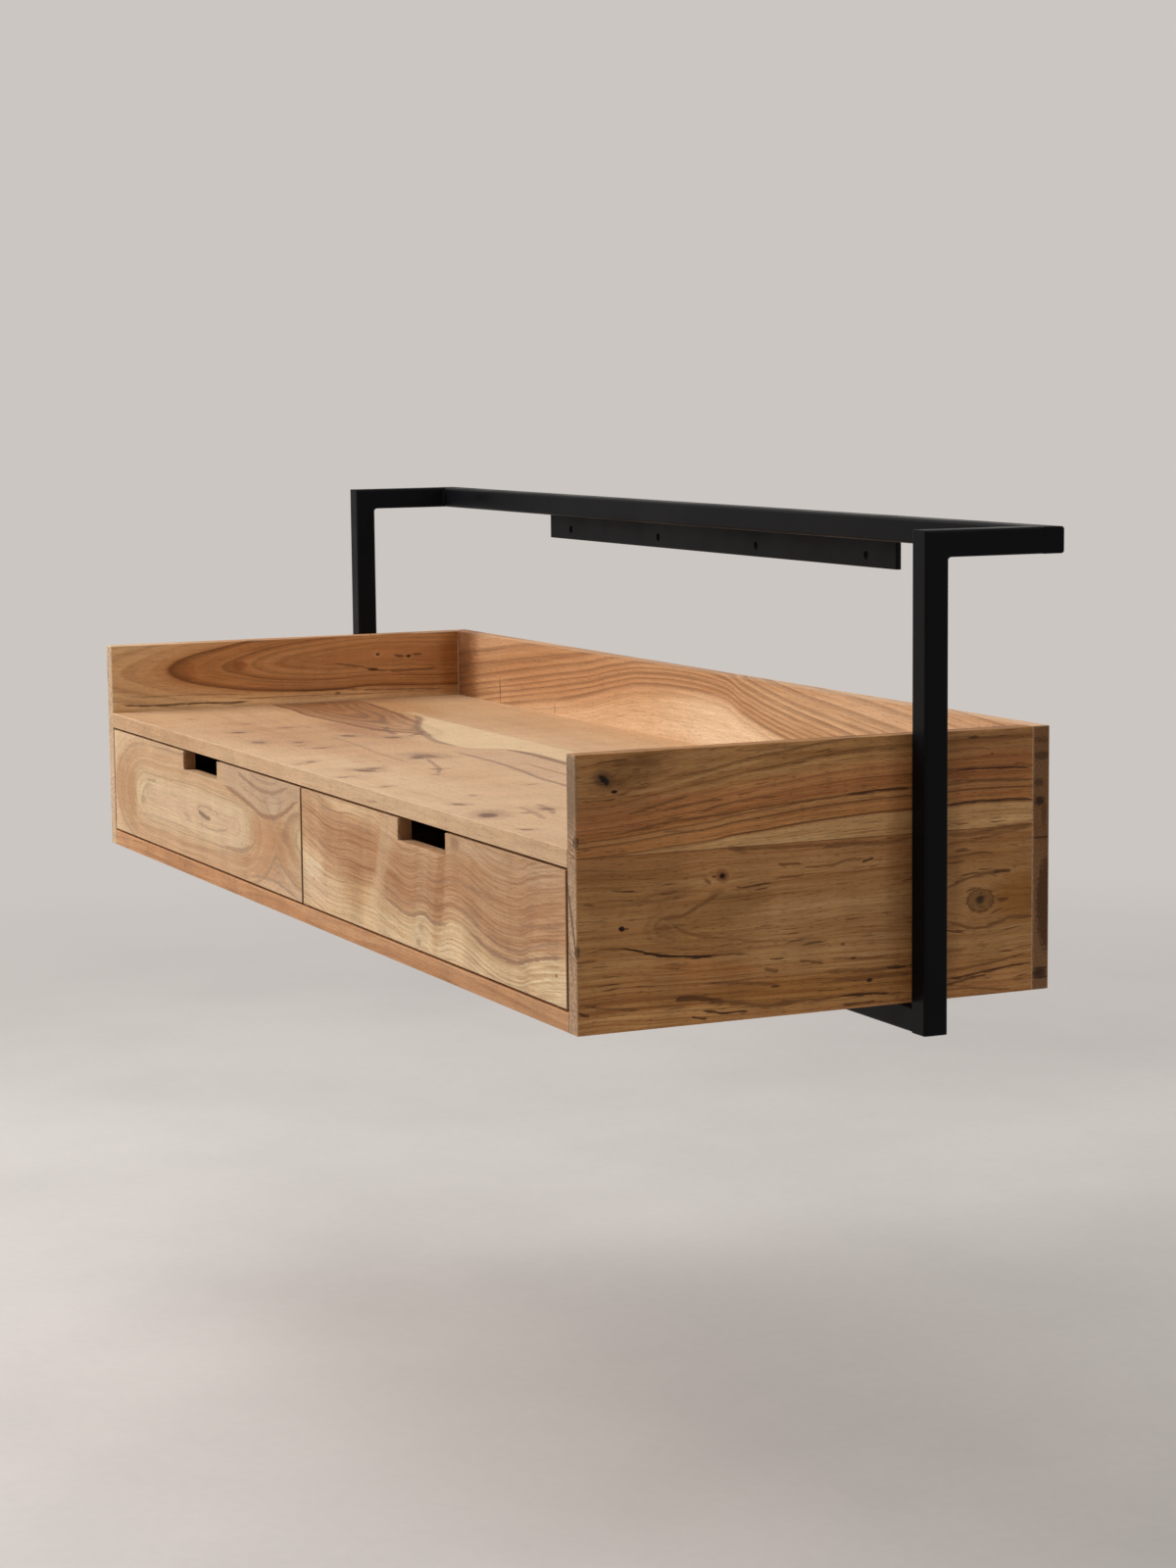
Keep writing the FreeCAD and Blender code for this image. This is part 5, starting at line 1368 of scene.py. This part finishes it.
class Drawer:
    """One drawer: its figured front, plain sides and back, plywood bottom and dowels."""

    def __init__(self, side: Side, nodes: Mapping[str, bpy.types.Object]) -> None:
        """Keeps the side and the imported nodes."""
        self.side = side
        self.nodes = nodes

    def front(self) -> Board:
        """The front's looks: swirls on the left drawer, fine waves on the right one."""
        return self._swirled() if self.side is Side.LEFT else self._waved()

    @staticmethod
    def _swirled() -> Board:
        """Long pale rings round a low heart, hanging lines near the top edge and a brown left end."""
        hearts = (Heart(-540, -225, -316.5, 0, (2.0, 2.2)), Heart(20, 100, -306, 10, (1.9, 2.0)),
                  Heart(-125, -110, -190, -16, (2.6, 2.6)))
        growth = Ovals(3, 160, 0.4, 11.0, (), hearts=hearts, blend=5)
        brown, pale = (0.86, 0.74, 0.64), (1.01, 1.03, 1.03)
        zones = ((0, (0.95, 0.94, 0.97), 0.35), (10, AS_IS, 0.3), (20, pale, 0.35),
                 (27.5, (0.99, 0.99, 0.97), 0.4), (33, (0.94, 0.9, 0.86), 0.4), (41, brown, 0.4),
                 (46, (0.94, 0.88, 0.82), 0.4), (56, (0.88, 0.78, 0.69), 0.4),
                 (66, (0.96, 0.92, 0.89), 0.4), (80, (1.02, 1.0, 0.98), 0.3))
        lines = ((12, 0.1, 3), (21.5, 0.14, 3), (30, 0.34, 3), (44, 0.16, 6), (64, 0.4, 4))
        washes = (
            Mark((-612, 0, -318), (22, 0, 34), (0.88, 0.76, 0.66), 0.9, 0.9),
            Mark((-656, 0, -315), (18, 0, 34), (0.88, 0.78, 0.68), 0.9, 0.9),
            Mark((-585, 0, -318), (9, 0, 30), (1.04, 1.1, 1.02), 0.8, 0.9),
            Mark((-95, 0, -318), (75, 0, 26), (0.86, 0.74, 0.64), 0.9, 0.9),
            Mark((-140, 0, -350), (90, 0, 10), (0.88, 0.76, 0.68), 0.8, 0.9),
            Mark((-12, 0, -300), (22, 0, 24), (1.03, 1.1, 1.06), 0.8, 0.9),
            Mark((-330, 0, -364), (300, 0, 10), (0.96, 0.9, 0.88), 0.8, 0.9),
            Mark((-60, 0, -356), (55, 0, 14), (0.92, 0.9, 0.92), 0.8, 0.9),
        )
        grey, tan, olive = (0.3, 0.185, 0.115), (0.4, 0.225, 0.12), (0.33, 0.23, 0.12)
        hang = ((-262, -271.5), (-195, -280.5), (-150, -288), (-118, -292.8), (-90, -291), (-65, -285.5),
                (-40, -276.5), (-20, -268), (2, -261))
        figures = (
            Band(((-262, -244), (-120, -244), (2, -244)), hang, (0.47, 0.325, 0.215), 0.5, 6),
            Stroke(hang, 6.2, 0.8, (0.3, 0.155, 0.085)),
            Stroke(((-216, -250), (-185, -257.5), (-150, -263), (-120, -265.5), (-90, -264), (-65, -259),
                    (-32, -250)), 5, 0.75, grey),
            Stroke(((-170, -249), (-140, -253.5), (-120, -255), (-90, -253.5), (-68, -249)), 3.6, 0.5,
                   grey),
            Stroke(((-205, -266), (-150, -273.5), (-118, -276.5), (-80, -274.5), (-42, -265)), 3, 0.4,
                   grey),
            Figure((8, -304), 2.25, ((16.5, 0.22, 6), (27.5, 0.62, 13)), (0.3, 0.165, 0.095),
                   Mark((-40, 0, -292), (46, 0, 26), AS_IS, 1.0, 0.7), 8),
            Figure((-533, -322.5), 1.55, ((14, 0.3, 5), (21.5, 0.62, 6)), olive,
                   Mark((-558, 0, -306), (34, 0, 22), AS_IS, 1.0, 0.7), 6),
            Figure((-540, -316.5), 2.0, ((38, 0.35, 12), (59, 0.4, 12), (66.5, 0.6, 4)), tan,
                   Mark((-640, 0, -306), (72, 0, 70), AS_IS, 1.0, 0.6), 6),
            Stroke(((-545, -298.5), (-533, -296.5), (-520, -296), (-510, -295)), 5, 0.62, olive),
            Stroke(((-350, -313.5), (-338, -315.5), (-322, -317.5), (-303, -318.8)), 6.2, 0.85,
                   (0.22, 0.13, 0.075)),
            Stroke(((-360, -311), (-320, -306), (-290, -308), (-268, -310.5)), 3.6, 0.45, grey),
            Stroke(((-350, -327), (-310, -330), (-270, -327.5), (-235, -320)), 3.4, 0.42, grey),
            Stroke(((-260, -343.5), (-220, -343), (-180, -337.5), (-158, -330), (-146, -322)), 5.6, 0.62,
                   (0.32, 0.195, 0.11)),
            Stroke(((-640, -364), (-560, -355), (-480, -354), (-400, -358), (-300, -354), (-200, -350)), 5,
                   0.42, (0.38, 0.235, 0.14)),
            Stroke(((-600, -344), (-520, -340), (-430, -339), (-350, -344)), 4, 0.3, grey),
            Stroke(((-170, -366), (-130, -362.5), (-90, -361.5), (-60, -364.5), (-10, -372)), 4, 0.62,
                   grey),
            Stroke(((-200, -352), (-150, -345), (-110, -340), (-60, -342), (-10, -356)), 5, 0.5, tan),
        )
        marks = (Mark((-563, 0, -324), (9, 0, 5), (0.35, 0.235, 0.14), 0.6, 0.95),
                 Mark((-388, 0, -325), (14, 0, 4.5), (0.4, 0.265, 0.17), 0.55, 0.95, -0.2),
                 Mark((-440, 0, -304), (15, 0, 3.5), (0.42, 0.3, 0.17), 0.5, 0.95),
                 Mark((-54, 0, -307), (11, 0, 6.5), (0.3, 0.155, 0.085), 0.5, 0.95),
                 Mark((-77, 0, -343), (14, 0, 3), (0.36, 0.24, 0.16), 0.45, 0.95),
                 *notch_walls(-401, -279))
        return Board(Lay.FRONT, growth, CREAM, zones, lines, washes, figures, marks, (), FRONT_END_GRAIN_AND_GAP_SHADE, 0.85,
                     FRONT_ARRIS_GAP_SHADE)

    @staticmethod
    def _waved() -> Board:
        """Brown above a wavy boundary and pale below it, with a pale fold and fine ribs along the waves."""
        edge = ((0, -313), (50, -322), (100, -328.5), (150, -326), (200, -326), (230, -331), (270, -337),
                (305, -341), (345, -335), (370, -340), (420, -331.5), (450, -334), (500, -344.5),
                (550, -349), (600, -341), (640, -333), (680, -326.5))
        growth = Waves(1.4, 110, 0.5, 13.0, (), line=edge)
        brown = (0.77, 0.625, 0.53)
        zones = ((-80, (1.04, 1.07, 1.06), 0.35), (-20, (1.09, 1.15, 1.14), 0.35),
                 (-3, (1.05, 1.09, 1.06), 0.3), (2, (0.9, 0.82, 0.75), 0.8), (9, (0.82, 0.69, 0.6), 0.8),
                 (16, brown, 0.9), (50, brown, 0.9), (68, (0.82, 0.71, 0.63), 0.8),
                 (85, (0.86, 0.79, 0.74), 0.7))
        lines = ((-22, 0.14, 4), (0.8, 0.2, 4), (12, 0.16, 4), (30, 0.14, 4), (46, 0.16, 4))
        washes = (
            Mark((35, 0, -300), (34, 0, 40), (1.2, 1.34, 1.46), 0.85, 0.9),
            Mark((50, 0, -345), (50, 0, 20), (0.93, 0.9, 0.98), 0.8, 0.9),
            Mark((60, 0, -311), (75, 0, 10), (1.24, 1.4, 1.5), 0.65, 0.95, -0.08),
            Mark((160, 0, -335), (34, 0, 22), (0.83, 0.72, 0.62), 0.85, 0.9),
            Mark((190, 0, -290), (50, 0, 24), (0.94, 0.88, 0.82), 0.7, 0.9),
            Mark((75, 0, -254), (60, 0, 7), (1.06, 1.1, 1.14), 0.8, 0.9),
            Mark((170, 0, -255), (80, 0, 7), (1.22, 1.38, 1.46), 0.85, 0.9),
            Mark((340, 0, -305), (17, 0, 44), (1.12, 1.2, 1.3), 0.75, 0.9, 3.0),
            Mark((385, 0, -310), (19, 0, 40), (0.82, 0.72, 0.62), 0.8, 0.9, 3.0),
            Mark((440, 0, -322), (50, 0, 9), (1.14, 1.26, 1.36), 0.8, 0.9, -0.12),
            Mark((460, 0, -256), (75, 0, 9), (1.12, 1.26, 1.44), 0.75, 0.9),
            Mark((640, 0, -262), (60, 0, 12), (1.04, 1.12, 1.22), 0.7, 0.9),
            Mark((300, 0, -362), (130, 0, 14), (1.06, 1.1, 1.14), 0.8, 0.9),
            Mark((640, 0, -352), (50, 0, 16), (1.1, 1.16, 1.2), 0.8, 0.9),
        )
        umber, pale = (0.3, 0.165, 0.095), (0.62, 0.415, 0.25)
        figures = (
            Band(((205, -330), (216, -312), (224, -288), (232, -266), (241, -250), (300, -242)),
                 ((205, -336), (232, -331), (243, -313), (250, -296), (260, -282), (278, -272),
                  (300, -268)), pale, 0.46, 17),
            Stroke(((240, -332), (270, -337.5), (305, -341.5), (345, -335.5), (370, -340), (415, -333)), 5,
                   0.7, umber),
            Stroke(((450, -334.5), (480, -341), (510, -346.5), (550, -349.2), (600, -341.2), (640, -333),
                    (680, -326.5)), 5, 0.78, umber),
            Stroke(((405, -316), (450, -320), (500, -333), (550, -338.5), (600, -330), (640, -320),
                    (680, -312.5)), 4.2, 0.48, umber),
            Stroke(((330, -295), (380, -299), (420, -292.5), (470, -294), (530, -300)), 3.6, 0.48, umber),
            Stroke(((570, -312), (620, -308), (680, -298)), 3.6, 0.45, umber),
            Stroke(((60, -268), (100, -273), (150, -270), (210, -272)), 3.2, 0.42, umber),
            Stroke(((20, -283), (50, -295), (80, -304), (120, -308)), 3, 0.5, umber),
            Stroke(((18, -295), (45, -306), (80, -315), (110, -319)), 2.8, 0.45, umber),
            Stroke(((235, -319), (260, -326.5), (290, -331), (320, -330)), 3, 0.42, umber),
            Stroke(((255, -346), (290, -354), (320, -356)), 3, 0.3, umber),
        )
        marks = (Mark((336, 0, -349.5), (7, 0, 4.5), (0.36, 0.23, 0.12), 0.5, 0.95),
                 Mark((330, 0, -365), (6, 0, 4.5), (0.34, 0.2, 0.1), 0.6, 0.95),
                 Mark((425, 0, -255.5), (11, 0, 5.5), (0.3, 0.155, 0.08), 0.6, 0.95),
                 Mark((656, 0, -346.5), (2.4, 0, 1.6), (0.18, 0.09, 0.04), 0.8, 0.8),
                 Mark((36, 0, -342), (2.6, 0, 1.6), (0.3, 0.17, 0.09), 0.7, 0.8),
                 Mark((75, 0, -262), (18, 0, 3), (0.36, 0.22, 0.14), 0.45, 0.95),
                 *notch_walls(279, 401))
        return Board(Lay.FRONT, growth, AMBER, zones, lines, washes, figures, marks, (), FRONT_END_GRAIN_AND_GAP_SHADE, 0.85,
                     FRONT_ARRIS_GAP_SHADE)

    def build(self) -> None:
        """Dresses the drawer."""
        name = self.side.value
        boards = {
            f"{name}_drawer_front": self.front(),
            f"{name}_drawer_left_side": Board(Lay.SIDE, Growth(8, 500, seed=21.0), PLAIN),
            f"{name}_drawer_right_side": Board(Lay.SIDE, Growth(8, 500, seed=23.0), PLAIN),
            f"{name}_drawer_back": Board(Lay.FRONT, Growth(8, 500, seed=25.0), PLAIN),
            f"{name}_drawer_dowels": Board(Lay.PEG, Growth(1, 100), PEG),
        }
        for node, board in boards.items():
            dress(self.nodes[node], TimberFinish(node + "_wood", board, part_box(node)).build())
        bottom = f"{name}_drawer_bottom"
        dress(self.nodes[bottom], Plywood(bottom + "_sheet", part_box(bottom)).build())


class Hardware:
    """Steel, plastic and rubber pieces, dressed by what their names end in."""

    FINISHES: tuple[tuple[Coating, tuple[str, ...]], ...] = (
        (POWDER_COAT, ("_post", "_arm", "rear_rail", "crossbar", "wall_plate", "frame_welds")),
        (ZINC, ("_screws", "post_bolts", "post_rivet_nuts", "_outer_rail", "_middle_rail", "_inner_rail")),
        (CAGE, ("_cages",)),
        (BALLS, ("_balls",)),
        (RUBBER, ("crossbar_pads", "wall_bumpers")),
        (PLASTIC, ("rail_end_caps", "post_foot_caps")),
    )

    def __init__(self, nodes: Mapping[str, bpy.types.Object]) -> None:
        """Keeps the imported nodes."""
        self.nodes = nodes

    def build(self) -> None:
        """Dresses every piece that isn't wood."""
        for coating, endings in self.FINISHES:
            material = coating.build()
            for name, node in self.nodes.items():
                if name.endswith(endings):
                    dress(node, material)


# ---------------------------------------------------------------------------------------------------
# The studio
# ---------------------------------------------------------------------------------------------------


@dataclass(frozen=True)
class Lamp:
    """A soft square lamp that looks at a point."""

    name: str
    at: Point
    look: Point
    size: float
    power: float
    colour: Colour = (1.0, 1.0, 1.0)

    def build(self) -> None:
        """Hangs the lamp."""
        data = bpy.data.lights.new(self.name, "AREA")
        data.shape = "SQUARE"
        data.size = self.size
        data.energy = self.power
        data.color = self.colour
        lamp = bpy.data.objects.new(self.name, data)
        lamp.location = self.at
        lamp.rotation_euler = (Vector(self.look) - Vector(self.at)).to_track_quat("-Z", "Y").to_euler()
        bpy.context.scene.collection.objects.link(lamp)


@dataclass(frozen=True)
class Viewpoint:
    """Where the camera stands, how it is turned, in degrees, and its lens for a frame FILM mm wide."""

    FILM = 36.0

    at: Point = (3.27557, -1.68332, 0.18124)
    yaw: float = 64.9818
    pitch: float = 7.0425
    roll: float = -0.6019
    lens: float = 75.126

    def build(self) -> None:
        """Makes the camera: its axes are right, up and backwards."""
        yaw, pitch, roll = (math.radians(angle) for angle in (self.yaw, self.pitch, self.roll))
        forward = Vector((-math.sin(yaw) * math.cos(pitch), math.cos(yaw) * math.cos(pitch),
                          -math.sin(pitch)))
        level = Vector((math.cos(yaw), math.sin(yaw), 0.0))
        upright = level.cross(forward)
        right = math.cos(roll) * level + math.sin(roll) * upright
        up = math.cos(roll) * upright - math.sin(roll) * level
        data = bpy.data.cameras.new("camera")
        data.sensor_width = self.FILM
        data.lens = self.lens
        camera = bpy.data.objects.new("camera", data)
        turned = Matrix((right, up, -forward)).transposed().to_4x4()
        camera.matrix_world = Matrix.Translation(self.at) @ turned
        bpy.context.scene.collection.objects.link(camera)
        bpy.context.scene.camera = camera


class Studio:
    """Pale floor, pale surroundings, soft lamps and the camera.

    FILL is the strength of the light all round. The floor is a square of FLOOR_COUNT points a side, which
    reaches FLOOR_REACH each way and fades into the surround between the two distances of FLOOR_FADE.
    """

    SURROUND: Colour = (0.6, 0.565, 0.535)
    FLOOR: Colour = (0.58, 0.55, 0.525)
    FILL = 0.5
    FLOOR_LEVEL = -0.968
    FLOOR_REACH = 9.0
    FLOOR_COUNT = 13
    FLOOR_FADE = (1.6, 4.2)
    LAMPS = (
        Lamp("key_lamp", (-1.9, -3.0, 2.1), (0.0, -0.3, -0.25), 2.2, 120.0, (1.0, 0.985, 0.96)),
        Lamp("sky_lamp", (-0.3, -1.0, 3.0), (0.0, -0.25, -0.25), 2.4, 38.0),
        Lamp("back_lamp", (1.2, 3.2, 1.6), (0.0, 0.0, -0.25), 2.0, 30.0),
    )

    def build(self) -> None:
        """Sets up everything around the desk."""
        bpy.context.scene.view_settings.view_transform = "Standard"
        Viewpoint().build()
        for lamp in self.LAMPS:
            lamp.build()
        self._world()
        self._floor()

    @staticmethod
    def _seen(net: Net) -> Field:
        """1 for what the camera sees straight or in gloss, 0 for what only gives light."""
        path = net.node("ShaderNodeLightPath").outputs
        return Field(net, path["Is Camera Ray"]).most(Field(net, path["Is Glossy Ray"]))

    def _world(self) -> None:
        """Light of FILL strength all round, and the surround's colour behind the desk and in gloss."""
        world = bpy.data.worlds.new("surround")
        world.use_nodes = True
        bpy.context.scene.world = world
        net = Net(world.node_tree)
        seen = self._seen(net)
        fill = net.node("ShaderNodeBackground", links={"Color": (1.0, 0.99, 0.98), "Strength": self.FILL})
        shown = net.node("ShaderNodeBackground", links={"Color": self.SURROUND, "Strength": 1.0})
        both = net.node("ShaderNodeMixShader", links={0: seen, 1: fill.outputs[0], 2: shown.outputs[0]})
        net.surface(both.outputs[0])

    def _floor(self) -> bpy.types.Object:
        """A flat floor: the height FLOOR_LEVEL over a square grid of two parameters."""
        reach, count = self.FLOOR_REACH, self.FLOOR_COUNT
        line = np.linspace(-reach, reach, count)
        x, y = np.meshgrid(line, line, indexing="ij")
        points = np.stack((x, y, np.full_like(x, self.FLOOR_LEVEL)), axis=-1).reshape(-1, 3)
        index = np.arange(count * count).reshape(count, count)
        faces = np.stack((index[:-1, :-1], index[1:, :-1], index[1:, 1:], index[:-1, 1:]), axis=-1)
        mesh = bpy.data.meshes.new("floor")
        mesh.from_pydata(points.tolist(), [], faces.reshape(-1, 4).tolist())
        floor = bpy.data.objects.new("floor", mesh)
        bpy.context.scene.collection.objects.link(floor)
        dress(floor, self._floor_material())
        return floor

    def _floor_material(self) -> bpy.types.Material:
        """Pale screed that fades into the surround's colour away from the desk."""
        material, net = new_material("pale_screed")
        x, y, z = net.axes()
        patches = net.noise(net.vector(x * 1.3, y * 1.3, z), 4.0, 0.6)
        fine = net.noise(net.vector(x * 60.0, y * 60.0, z), 2.0)
        shade = patches.step(0.3, 0.7, 0.94, 1.04) * fine.step(0.2, 0.8, 0.985, 1.015)
        colour = net.mix(self.FLOOR, net.grey(shade), 1.0, "MULTIPLY")
        screed = net.node("ShaderNodeBsdfPrincipled", links={"Base Color": colour, "Roughness": 0.75,
                                                              "Specular IOR Level": 0.2})
        distant = net.node("ShaderNodeEmission", links={"Color": self.SURROUND, "Strength": 1.0})
        seen = self._seen(net)
        far = (x * x + y * y).root().step(*self.FLOOR_FADE) * seen
        both = net.node("ShaderNodeMixShader", links={0: far, 1: screed.outputs[0], 2: distant.outputs[0]})
        net.surface(both.outputs[0])
        return material


def main() -> None:
    """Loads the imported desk, dresses it and sets up the studio around it."""
    logging.basicConfig(level=logging.INFO, format="%(name)s %(message)s")
    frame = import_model()
    nodes = frame["nodes"]
    Studio().build()
    Carcass(nodes).build()
    for side in Side:
        Drawer(side, nodes).build()
    Hardware(nodes).build()


if __name__ == "__main__":
    main()
